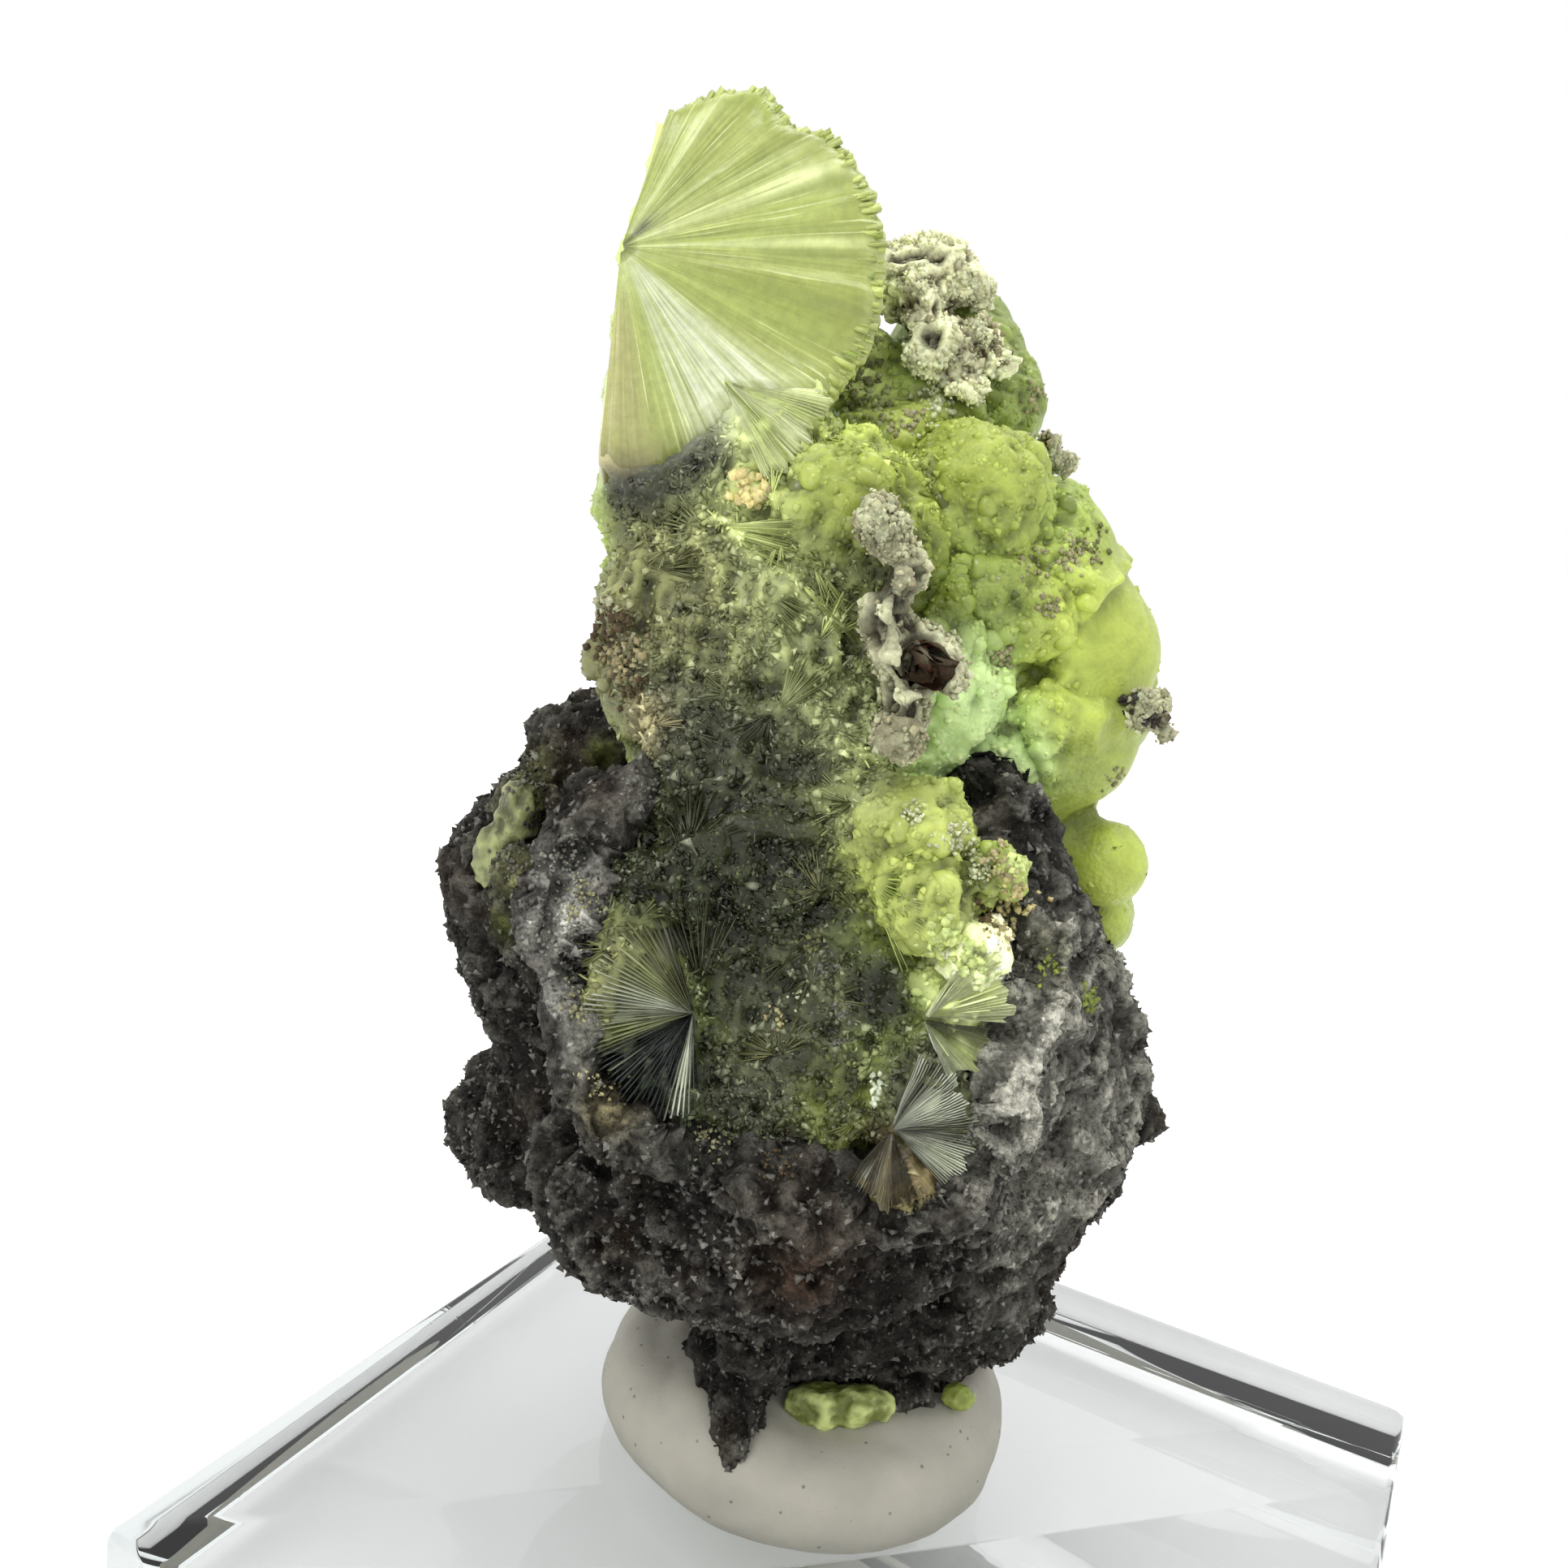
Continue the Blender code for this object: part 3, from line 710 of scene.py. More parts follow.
def putty_material():
    """Matte putty with fine dark specks, a faint grain and a few smudges."""
    n = Nodes("speckled_putty")
    smudges = ((0.3, PUTTY_GREY * 0.86), (0.7, PUTTY_GREY * 1.04))
    smudged = n.ramp(n.noise(2.6, 4.0), smudges)
    specks = n.mix("MIX", n.spread(n.cells(0.55), 0.07, 0.13, 0.75, 0.0), smudged, PUTTY_SPECK)
    fine = n.mix("MIX", n.spread(n.noise(0.16, 3.0), 0.64, 0.76, 0.0, 0.3), specks, PUTTY_GRAIN)
    gloss = n.spread(n.noise(0.5, 3.0), 0.3, 0.7, 0.62, 0.82)
    soft = n.bump(n.noise(0.9, 4.0), 0.35, 0.12)
    n.feed(Base_Color=fine, Roughness=gloss, Normal=n.bump(n.noise(0.12, 4.0), 0.3, 0.03, soft))
    n.set(Subsurface_Weight=0.1, Subsurface_Scale=0.0006)
    return n.material


def acrylic_material():
    """Clear cast acrylic with polished faces, a faint cool absorption and a few hair scratches."""
    n = Nodes("clear_acrylic")
    n.set(Base_Color=(0.985, 0.992, 0.99, 1.0), Transmission_Weight=1.0, IOR=1.49, Roughness=0.015)
    absorption = n.add("ShaderNodeVolumeAbsorption")
    absorption.inputs["Color"].default_value = (0.72, 0.9, 0.88, 1.0)
    absorption.inputs["Density"].default_value = 6.0
    n.link(absorption.outputs["Volume"], n.tree.nodes["Material Output"].inputs["Volume"])
    stretched = n.add("ShaderNodeMapping")
    stretched.inputs["Rotation"].default_value = (0.0, 0.0, 0.6)
    stretched.inputs["Scale"].default_value = (60.0, 1600.0, 200.0)
    n.link(n.place, stretched.inputs["Vector"])
    streaks = n.add("ShaderNodeTexNoise")
    streaks.inputs["Scale"].default_value = 1.0
    streaks.inputs["Detail"].default_value = 2.0
    n.link(stretched.outputs["Vector"], streaks.inputs["Vector"])
    scratches = n.spread(streaks.outputs["Fac"], 0.68, 0.72, 0.0, 1.0)
    n.feed(Normal=n.bump(scratches, 0.12, 0.02))
    return n.material


def floor_material():
    """A nearly white floor that glows a little."""
    n = Nodes("pale_floor")
    n.feed(Base_Color=n.ramp(n.noise(40.0), ((0.3, grey(0.93)), (0.7, grey(0.95)))))
    n.set(Roughness=0.7, Emission_Color=WHITE, Emission_Strength=0.12)
    return n.material


# The broken face, which leans back, and the big fan's hub in mm

FAN_HUB = np.array((-12.0, -0.2, 36.1))
# The big fan's rim: degrees from its right-hand side, and mm from the hub
FAN_RIM = np.array(
    (
        (-86, 6.3), (-75, 6.2), (-63, 5.7), (-53, 5.5), (-43, 5.4), (-36, 5.9),
        (-28, 7.0), (-12, 7.25), (5, 7.2), (20, 7.1), (30, 6.9), (38, 6.7),
        (44, 5.95), (50, 5.9), (58, 6.1), (66, 5.4), (79, 4.2),
    )
)
FAN_FIRST, FAN_LAST = -87.0, 80.0


def lean_back(directions):
    """Tip directions from upright into the broken face, whose top is further away."""
    cos, sin = math.cos(FACE_LEAN), math.sin(FACE_LEAN)
    x, y, z = directions[:, 0], directions[:, 1], directions[:, 2]
    return np.stack((x, cos * y + sin * z, cos * z - sin * y), axis=1)


def fan_reach(angles):
    return np.interp(angles, *FAN_RIM.T)


OUT = lean_back(np.array(((0.0, -1.0, 0.0),)))[0]


def flat_directions(angles):
    """Directions in the leaning broken face for angles in degrees from its right-hand side."""
    turn = np.radians(angles)
    return lean_back(np.stack((np.cos(turn), np.zeros_like(turn), np.sin(turn)), axis=1))


def drape(points, tree, lift, limit=2.5):
    """Move points along the broken face's normal onto a surface, or leave them where it is too far."""
    moved = points.copy()
    for index, point in enumerate(points):
        hit = tree.ray_cast(Vector((point + OUT * 4.0).tolist()), Vector((-OUT).tolist()))[0]
        if hit is not None and abs((np.array(hit) - point) @ OUT) < limit:
            moved[index] = np.array(hit)
    return moved + OUT * lift


def pick_tints(count, choices, shares):
    """A colour for each of many fibres, picked from a few with a little change in brightness."""
    picked = RNG.choice(len(choices), size=count, p=np.array(shares) / sum(shares))
    return np.array(choices)[picked] * RNG.uniform(0.82, 1.14, (count, 1))


# Pieces of wavellite


def fan_weight(points):
    """1 on the big fan's part of the mass, fading to 0 below it."""
    away = points - FAN_HUB
    angle = np.degrees(np.arctan2(away[:, 2], away[:, 0]))
    reach = np.hypot(away[:, 0], away[:, 2])
    edge = fan_reach(angle)
    return smooth_step(edge + 0.4 - reach, 0.0, 0.6) * smooth_step(2.6 - away[:, 1], 0.0, 1.5)


# Photo pixels down the mass's left edge, whose side is grey-green like its face, and the zones there in mm
LEFT_EDGE = ((741, 640), (748, 690), (742, 745), (748, 800), (757, 850), (765, 900), (776, 932))
BEHIND_EDGE = np.array((-0.2, 1.3, 0.0))
LEFT_EDGE_RADIUS = 1.2

# Places that give the wavellite its colours: photo pixel, radius in mm, colour
WAVELLITE_PLACES = {
    "fan_top": (880, 190, 2.2, PALE_LIME),
    "fan_middle": (950, 320, 2.4, PALE_LIME),
    "fan_lower": (960, 440, 1.6, PALE_LIME),
    "fan_silver": (830, 440, 1.8, SILVER),
    "fan_left_strip": (755, 450, 1.0, PALE_LIME),
    "strip_end": (762, 555, 0.5, TAN),
    "smear": (830, 590, 0.8, NIGHT_OLIVE * 0.8),
    "smear_left": (775, 605, 0.6, ROCK_LOW),
    "smear_right": (880, 550, 0.6, SMOKE * 0.55),
    "small_fan": (960, 530, 0.9, PALE_LIME),
    "below_small_fan": (935, 615, 0.9, PALE_LIME),
    "face_upper_left": (780, 690, 1.0, OLIVE_GREY * 1.15),
    "face_upper": (850, 690, 1.2, OLIVE_GREY * 1.15),
    "face_pale": (925, 665, 1.0, PALE_OLIVE),
    "face_green": (985, 740, 1.5, PALE_OLIVE * 1.25),
    "face_middle": (870, 770, 1.3, OLIVE_GREY),
    "face_lower": (850, 880, 1.2, SMOKE),
    "face_dark": (850, 930, 0.9, NIGHT_OLIVE),
    "face_right": (1040, 860, 1.4, PALE_OLIVE * 0.9),
    "face_low_middle": (960, 930, 1.1, SMOKE),
    "face_low_right": (1060, 985, 0.8, PALE_OLIVE),
    "left_bump": (755, 790, 0.9, BROWN * 0.7),
    "left_edge_high": (741, 645, 1.3, OLIVE_GREY),
    "left_edge_low": (759, 885, 0.8, OLIVE_GREY),
    "left_edge_lowest": (775, 925, 0.7, SMOKE),
    "left_edge": (800, 890, 0.6, TAN),
    "bulge_front": (1045, 600, 1.7, YELLOW_LIME * 0.64),
    "bulge_front_right": (1130, 600, 1.0, YELLOW_LIME * 0.68),
    # Painted shade on the lower side of the front bulge
    "bulge_front_low": (1055, 720, 1.5, CREASE_SHADE_LIME * 0.25),
    "bulge_behind": (1205, 575, 2.0, YELLOW_LIME * 0.7),
    "bulge_behind_low": (1200, 670, 1.1, LIME * 0.7),
    # Painted shade: the cluster below the bulge behind, and the creases between the bulges
    "cluster": (1230, 745, 1.2, LIME * 0.5),
    "crease_middle": (1150, 690, 0.6, CREASE_SHADE_LIME),
    "crease_low": (1170, 740, 0.7, CREASE_SHADE_LIME * 1.4),
    "crease_front": (1010, 700, 0.6, CREASE_SHADE_LIME),
    "right_top": (1330, 640, 1.4, LIME * 0.85),
    "right_middle": (1370, 770, 2.0, YELLOW_LIME),
    "right_low": (1290, 1480, 3.0, ROCK_HIGH * 2.1),
    "mint_top": (1190, 850, 1.3, MINT),
    "mint_low": (1205, 940, 1.1, MINT),
    "right_lobe": (1380, 1080, 1.5, YELLOW_LIME),
    "dome": (1215, 400, 2.0, LIME * 0.56),
    "vug_lime": (1110, 1050, 1.4, VUG_LIME),
    "vug_lime_low": (1160, 1120, 0.9, VUG_LIME),
    "vug_lime_edge": (1210, 1190, 0.8, CREAM_LIME * 1.25),
    "vug_top": (900, 1010, 1.4, NIGHT_OLIVE * 0.7),
    "vug_upper_left": (800, 1060, 1.2, NIGHT_OLIVE * 0.8),
    "vug_upper_middle": (980, 1060, 1.1, NIGHT_OLIVE * 0.8),
    "vug_middle": (930, 1130, 1.6, NIGHT_OLIVE * 0.45),
    "vug_centre": (970, 1230, 1.3, SMOKE),
    "vug_left": (760, 1200, 1.0, OLIVE_GREY),
    "vug_low_left": (800, 1320, 1.2, TEAL_BLACK),
    "vug_low": (950, 1350, 1.4, SMOKE * 0.8),
    "vug_green_low": (1020, 1360, 0.8, OLIVE * 0.5),
    "vug_right": (1150, 1350, 1.0, SMOKE),
    "vug_brown": (1080, 1430, 0.7, BROWN),
    "vug_brown_right": (1146, 1440, 0.8, BROWN),
    "vug_gap": (1085, 1225, 0.6, ROCK_LOW),
}


def spot_zones(tree, places):
    """Colour zones where named photo pixels land on a surface."""
    zones = []
    for u, v, radius, tint in places.values():
        spot = photo_spot(tree, u, v)
        if spot is not None:
            zones.append((spot, radius, tint))
    return zones


def wavellite_zones(tree):
    """The mass's colour zones, those of its left edge a little behind it."""
    edge = {index: (*pixel, LEFT_EDGE_RADIUS, OLIVE_GREY) for index, pixel in enumerate(LEFT_EDGE)}
    behind = [(spot + BEHIND_EDGE, radius, tint) for spot, radius, tint in spot_zones(tree, edge)]
    return spot_zones(tree, WAVELLITE_PLACES) + behind


def botryoid_weight(points):
    """1 on the rounded, unbroken outside of the mass, 0 on its broken face and in the hollow."""
    hub_line = FAN_HUB[1] - math.tan(FACE_LEAN) * (FAN_HUB[2] - points[:, 2])
    behind = smooth_step(points[:, 1] - hub_line, 0.5, 1.6)
    front_lumps = smooth_step(hub_line - points[:, 1], 0.3, 0.8) * (points[:, 0] > -7.6)
    right = smooth_step(points[:, 0], -3.4, -2.2)
    hollow = smooth_step(17.5 - points[:, 2], -1.5, 1.5) * (points[:, 0] < 2.4) * (points[:, 1] < -2.0)
    return np.clip(np.maximum(behind, np.maximum(front_lumps, right)) - hollow, 0.0, 1.0)


# Balls of the botryoidal lumps: x, y, z and radius in mm
BOTRYOIDS = (
    (-5.3, -0.9, 30.0, 2.1),
    (-4.3, -0.7, 29.2, 2.1),
    (-1.2, 0.7, 31.1, 1.9),
    (-0.4, -0.2, 28.5, 0.9),
    (0.8, 0.2, 27.9, 1.1),
    (-0.4, 0.2, 27.1, 0.9),
    (1.0, 2.7, 29.1, 2.5),
    (2.4, 2.8, 26.7, 2.85),
    (2.6, 2.4, 24.3, 2.4),
    (4.8, 2.6, 20.4, 1.35),
    (5.3, 3.9, 18.2, 1.0),
    (5.6, 4.6, 16.2, 0.9),
    (-0.2, 1.7, 25.6, 1.8),
    (0.2, 1.2, 23.5, 1.6),
    (-2.0, -4.4, 22.0, 1.5),
    (-1.4, -5.2, 20.7, 1.3),
    (0.3, -5.1, 21.5, 0.7),
    (0.1, -5.8, 19.6, 0.7),
    (-2.1, 6.2, 34.9, 2.2),
    (-1.1, 5.5, 33.9, 1.9),
    (3.0, 6.4, 26.5, 2.8),
    (-0.6, 8.0, 28.5, 2.6),
    (2.2, 7.6, 21.5, 2.8),
    (-2.4, 8.2, 23.6, 2.6),
    (4.6, 6.6, 17.6, 2.2),
)

# The lump whose front is broken off, in mm: its middle and how far the break reaches
BROKEN_LUMP = np.array((-1.4, -4.8, 21.2))
BREAK_REACH = 2.2


def crease_depth(points):
    """How far points stand off the balls of the lumps, in mm: most in the creases between two balls."""
    nearest = np.full(len(points), 9.0)
    for *centre, radius in BOTRYOIDS:
        nearest = np.minimum(nearest, np.linalg.norm(points - np.array(centre), axis=1) - radius)
    return nearest


def deepen_creases(skin, outside):
    """Press the rounded outside in between the balls of its lumps."""
    off = crease_depth(skin.points)
    inward = np.clip(off, -0.25, 0.55) * smooth_step(1.0 - off, 0.0, 0.4) * outside
    skin.points = skin.points - skin.normals() * inward[:, None]


def lump_relief(points, outside, sugary, back):
    """Height in mm and shade of the rounded outside: bumps of two sizes, sharper on the sugary lumps, with
    painted light on their tops, painted shade between them and a random tone for each.
    """
    warped = points + 0.3 * layered(points, 1.3, 2, 15)[:, None]
    big, label = bumps(warped, 1.1, 21)
    small, small_label = bumps(points, 0.55, 31)
    facets = ridged(points, 0.6, 2, 66)
    knobs = (0.05 + 0.24 * sugary + 0.16 * back) * big + (0.02 + 0.17 * sugary + 0.08 * back) * small
    knobs += (0.06 + 0.16 * back) * noise(points, 1.6, 61) + 0.14 * sugary * facets
    raised = outside * (knobs - 0.06 - 0.16 * sugary - 0.1 * back)
    shade = sugary * (0.3 * (label - 0.5) + 0.35 * (big - 0.6) + 0.35 * (small - 0.6))
    shade += sugary * (0.3 * (small_label - 0.5) + 0.3 * np.clip(facets, -0.6, 0.8))
    shade += back * (0.25 * (big - 0.6) + 0.2 * (small - 0.6) + 0.2 * (label - 0.5))
    return raised, outside * shade


def split_relief(points, split, broken):
    """Height in mm and brightness of the split face and of the broken lump: small ridges and blocks, with
    painted light where they stand up, painted shade where they sink and a random tone.
    """
    rough = layered(points, 0.9, 3, 41)
    blocky = ridged(points, 1.1, 2, 51)
    flaky = ridged(points, 0.55, 2, 56)
    raised = split * (0.26 * rough + 0.16 * blocky + 0.16 * flaky)
    raised += broken * (0.3 * blocky + 0.18 * flaky)
    bright = 1.0 + split * np.clip(0.5 * flaky + 0.3 * blocky, -0.45, 0.6)
    bright = bright * (1.0 + broken * np.clip(0.4 * flaky + 0.4 * blocky, -0.4, 0.5))
    return raised, bright * (1.0 + split * 0.6 * layered(points, 1.1, 3, 71))


def build_wavellite():
    """The mass with its relief and colours, painted shade in its creases and hollows and painted light on
    its broad lumps, and a search tree of its skin before them.
    """
    skin = dense_skin("wavellite", WAVELLITE_VOXEL, 5)
    tree = skin.tree()
    zones = wavellite_zones(tree)
    broad = skin.cavity(45)
    outside = outside_weight(skin.points)
    deepen_creases(skin, outside)
    points = skin.points
    fan_part = fan_weight(points)
    split = (1.0 - outside) * (1.0 - fan_part)
    broken = np.exp(-(((points - BROKEN_LUMP) / BREAK_REACH) ** 2).sum(axis=1)) * (1.0 - split)
    back = smooth_step(points[:, 1], 4.0, 7.0)
    lumps, shade = lump_relief(points, outside, sugary_part(points), back)
    ridges, bright = split_relief(points, split, broken)
    skin.points = points + skin.normals() * (lumps + ridges - fan_part * 0.10)[:, None]
    # Painted shade in the small creases, painted light on the broad lumps
    shade = shade - 1.9 * np.clip(skin.cavity(12), -0.12, 0.25) - 0.3 * np.clip(broad, -0.3, 0.0)
    bright = bright * np.clip(1.0 + shade, 0.4, 1.3)
    skin.tint = blend_zones(points, zones, LIME * 0.85) * bright[:, None]
    # Painted shade: deep lime in the broad hollows of the rounded outside
    skin.tint = fade(skin.tint, CREASE_SHADE_LIME, outside * smooth_step(skin.cavity(60), 0.05, 0.5) * 0.8)
    return skin, tree


def streaks(angles, radii, width, seed):
    """Noise that runs along the fibres: narrow in angle, in degrees, and long in radius, in mm."""
    return noise(np.stack((angles / width, radii / 2.2, np.full_like(angles, 0.5)), axis=1), 1.0, seed)


def edge_noise(angles, width, seed):
    """Noise along a fan's rim, with features of this width in degrees."""
    still = np.zeros_like(angles)
    return noise(np.stack((angles / width, still, still), axis=1), 1.0, seed)


# The big fan's rays: middle and width in degrees, and strength
DARK_RAYS = ((-8.0, 9.0, 0.9), (17.0, 3.0, 0.6), (-25.0, 4.0, 0.6), (50.0, 7.0, 0.4))
WHITE_RAYS = ((30.5, 3.0, 1.0), (10.0, 1.6, 0.6), (66.0, 3.0, 0.5), (38.0, 1.5, 0.5))


def rays(angles, table):
    return sum(strength * hump(angles, middle, width) for middle, width, strength in table)


def fan_tint(angles, share, seed):
    """The big fan's colour by angle and by share of the way to the rim, with painted glints along its
    fibres.
    """
    dark, white = rays(angles, DARK_RAYS), rays(angles, WHITE_RAYS)
    silver = hump(angles, -47.0, 16.0, 4)
    strip = smooth_step(-angles, 66.0, 80.0)
    fine = streaks(angles, share * 6.0, 0.9, seed)
    broad = streaks(angles, share * 6.0, 3.4, seed + 1)
    hairs = streaks(angles, share * 7.0, 0.55, seed + 3)
    glints = streaks(angles, share * 7.0, 0.6, seed + 4)
    cloud = noise(np.stack((angles / 14.0, share * 3.0, share * 0.0), axis=1), 1.0, seed + 2)
    tint = FAN_LIME[None, :] * (0.64 + 0.14 * broad + 0.16 * fine)[:, None]
    parts = (
        (0.15 + 0.35 * cloud, LIME * 0.9),
        (0.75 * dark * (0.6 + 0.6 * fine) * smooth_step(share, 0.1, 0.45), FAN_OLIVE),
        (0.85 * silver * (0.7 + 0.8 * fine) * smooth_step(share, 0.0, 0.2), SILVER * 0.9),
        (0.88 * white * (0.7 + 0.6 * broad) * (1.0 - 0.6 * smooth_step(share, 0.85, 1.0)), CREAM_LIME),
        (0.55 * smooth_step(hairs, 0.25, 0.75) * smooth_step(share, 0.15, 0.4), FAN_OLIVE * 0.9),
        # Painted glints: thin pale streaks along the fibres
        (0.65 * smooth_step(glints, 0.4, 0.8), CREAM_LIME),
        (0.5 * strip * smooth_step(share, 0.1, 0.4), TAN),
        (0.7 * strip * smooth_step(share, 0.82, 1.0), BROWN),
        (0.15 * smooth_step(share, 0.93, 0.97) * (angles > -30.0), CREAM_LIME),
        (0.5 * hump(share, 0.885, 0.025) * (angles > -20.0), FAN_OLIVE),
        (0.9 * hump(angles, 50.0, 12.0) * hump(share, 0.10, 0.08), SMOKE),
        (0.6 * hump(share, 0.0, 0.04), SMOKE),
    )
    for amount, colour in parts:
        tint = fade(tint, colour, np.clip(amount, 0.0, 1.0))
    return tint


def build_fan_sheet(tree):
    """The big fan's broken face as a ribbed shell: each rib is a bundle of fibres from hub to rim."""
    columns, rows, draped = 720, 22, 44
    thickness, raised, hub_radius = 0.45, 0.16, 0.12
    angles = np.repeat(np.linspace(FAN_FIRST, FAN_LAST, columns), rows)
    share = np.tile(np.linspace(0.0, 1.0, rows) ** 0.9, columns)
    scallop = 0.014 * edge_noise(angles, 4.5, 501) + 0.010 * edge_noise(angles, 1.6, 502)
    reach = fan_reach(angles) * (1.0 + scallop)
    radii = hub_radius + share * (reach - hub_radius)
    flat = FAN_HUB + flat_directions(angles) * radii[:, None]
    coarse = np.linspace(0, columns - 1, draped).astype(int)
    depth = np.zeros((columns, rows))
    for column in coarse:
        row = flat[column * rows:(column + 1) * rows]
        depth[column] = (drape(row, tree, 0.0, 1.6) - row) @ OUT
    for row in range(rows):
        depth[:, row] = np.interp(np.arange(columns), coarse, depth[coarse, row])
    for _ in range(5):
        depth[:, 1:-1] = (depth[:, :-2] + 2.0 * depth[:, 1:-1] + depth[:, 2:]) / 4.0
    ribs = 0.06 * streaks(angles, radii, 7.0, 511) + 0.03 * streaks(angles, radii, 2.4, 512)
    ribs += 0.018 * streaks(angles, radii, 0.8, 513)
    ribs *= smooth_step(radii, 0.2, 3.0)
    rim_drop = 0.4 * smooth_step(share, 0.9, 1.0) ** 2
    front = flat + OUT * (depth.ravel() + raised + ribs - rim_drop)[:, None]
    back = flat + OUT * (depth.ravel() - thickness)[:, None]
    return closed_sheet(front, back, fan_tint(angles, share, 521), columns, rows)


def build_fan_rim():
    """Blunt crystal tips in several rows along the big fan's broken rim."""
    count = 1300
    angles = RNG.uniform(-31.0, FAN_LAST, count)
    reach = fan_reach(angles) * RNG.uniform(0.94, 1.012, count)
    ways = flat_directions(angles)
    depth = RNG.uniform(-1.2, 0.06, count)
    outer = FAN_HUB + ways * (reach + 0.08 * depth)[:, None] + OUT * depth[:, None]
    start = reach - RNG.uniform(0.4, 0.8, count)
    inner = FAN_HUB + ways * start[:, None] + OUT * (depth * 0.9)[:, None]
    widths = 0.08 + 0.2 * RNG.random(count) ** 1.5
    tints = pick_tints(count, (FAN_LIME, FAN_LIME * 0.85, PALE_LIME, LIME), (4, 4, 1, 1))
    return rods(inner, outer, OUT, widths, widths, tints, roll=3.0)


def fan_plate(tree, hub, first, last, forward, reach, tint_of, seed):
    """A small broken fan: a thin ribbed plate that lies on the surface behind it and leans forward."""
    columns, rows, step = 190, 12, 7
    thickness, hub_radius = 0.22, 0.06
    angles = np.repeat(np.linspace(first, last, columns), rows)
    share = np.tile(np.linspace(0.0, 1.0, rows), columns)
    ragged = 1.0 + 0.10 * edge_noise(angles, 7.0, seed) + 0.06 * edge_noise(angles, 2.6, seed + 1)
    radii = hub_radius + share * (reach * ragged - hub_radius)
    tilt = math.radians(forward)
    ways = flat_directions(angles) * math.cos(tilt) + OUT * math.sin(tilt)
    flat = np.array(hub) + ways * radii[:, None]
    ribs = 0.05 * streaks(angles, radii, 6.0, seed + 2) + 0.035 * streaks(angles, radii, 2.2, seed + 3)
    ribs *= smooth_step(radii, 0.1, 1.4)
    wall = drape(flat[::step], tree, 0.14, 1.6)
    ahead = np.maximum((wall - flat[::step]) @ OUT, 0.0)
    lift = np.interp(np.arange(len(flat)), np.arange(0, len(flat), step), ahead)
    front = flat + OUT * (lift + ribs)[:, None]
    return closed_sheet(front, front - OUT * thickness, tint_of(angles, share, seed + 5), columns, rows)


def quad_faces(a, b, c, d):
    """Two triangles for each four-sided face with these corners in order."""
    halves = np.stack((a, b, c), axis=-1).reshape(-1, 3), np.stack((a, c, d), axis=-1).reshape(-1, 3)
    return np.concatenate(halves)


def closed_sheet(front, back, tint, columns, rows):
    """A closed shell between two grids of points with the same columns and rows."""
    index = np.arange(columns * rows).reshape(columns, rows)
    front_faces = quad_faces(index[:-1, :-1], index[1:, :-1], index[1:, 1:], index[:-1, 1:])
    offset = columns * rows
    border = np.concatenate((index[:, 0], index[-1, 1:], index[-2::-1, -1], index[0, -2:0:-1]))
    following = np.roll(border, -1)
    walls = quad_faces(border, border + offset, following + offset, following)
    triangles = np.concatenate((front_faces, front_faces[:, ::-1] + offset, walls))
    return Shape(np.concatenate((front, back)), triangles, np.concatenate((tint, tint * 0.9)))


def streaky(*stops):
    """A colour rule for a fan: colours by angle in degrees, streaked along the fibres."""
    at = np.array([stop[0] for stop in stops], float)
    colours = np.array([stop[1] for stop in stops])

    def tint_of(angles, share, seed):
        tint = np.stack([np.interp(angles, at, channel) for channel in colours.T], axis=1)
        fine = streaks(angles, share * 3.0, 2.2, seed)
        broad = streaks(angles, share * 3.0, 7.0, seed + 1)
        tint = tint * (0.9 + 0.28 * fine + 0.15 * broad)[:, None]
        return fade(tint, SILVER, 0.35 * smooth_step(fine + 0.5 * broad, 0.35, 0.8))

    return tint_of


SMALL_FAN = streaky(
    (-60, CREAM_LIME * 1.1), (-42, PALE_LIME * 1.2), (-28, CREAM_LIME * 1.2), (-14, PALE_LIME * 1.2),
    (2, CREAM_LIME * 1.1),
)
LEFT_SPRAY = streaky(
    (110, NIGHT_OLIVE), (130, OLIVE_GREY), (150, PALE_OLIVE), (176, SILVER * 0.7), (200, PALE_OLIVE),
    (214, TEAL_BLACK), (262, TEAL_BLACK), (271, SILVER), (279, TEAL_BLACK),
)
SILVER_SPRAY = streaky(
    (-45, SMOKE), (-20, SILVER), (8, SMOKE), (34, SILVER), (52, SILVER), (66, SMOKE), (80, SILVER)
)
BROWN_SPRAY = streaky((-130, NIGHT_OLIVE), (-106, BROWN), (-92, TAN), (-82, BROWN), (-55, NIGHT_OLIVE))
LIME_PLATE = streaky((5, CREAM_LIME), (26, CREAM_LIME * 1.2), (66, CREAM_LIME))
PALE_PLATE = streaky((-65, SILVER), (-30, PALE_LIME), (5, SMOKE))

# Small fans: hub in mm, first and last angle and forward tilt in degrees, reach in mm, colours, seed
SMALL_FANS = (
    ((-8.7, -1.3, 33.0), -60, 2, 4, 2.9, SMALL_FAN, 600),
    ((-7.0, -5.2, 16.6), 112, 282, 12, 2.75, LEFT_SPRAY, 610),
    ((-1.4, -6.35, 14.7), -40, 78, 8, 2.0, SILVER_SPRAY, 620),
    ((-1.4, -6.35, 14.6), -124, -60, 8, 1.8, BROWN_SPRAY, 630),
    ((-1.0, -6.0, 17.7), 5, 66, 8, 2.3, LIME_PLATE, 640),
    ((-1.0, -6.0, 17.6), -60, 2, 8, 1.7, PALE_PLATE, 650),
)


def build_spray_plates(tree):
    return join_shapes([fan_plate(tree, *fan) for fan in SMALL_FANS])


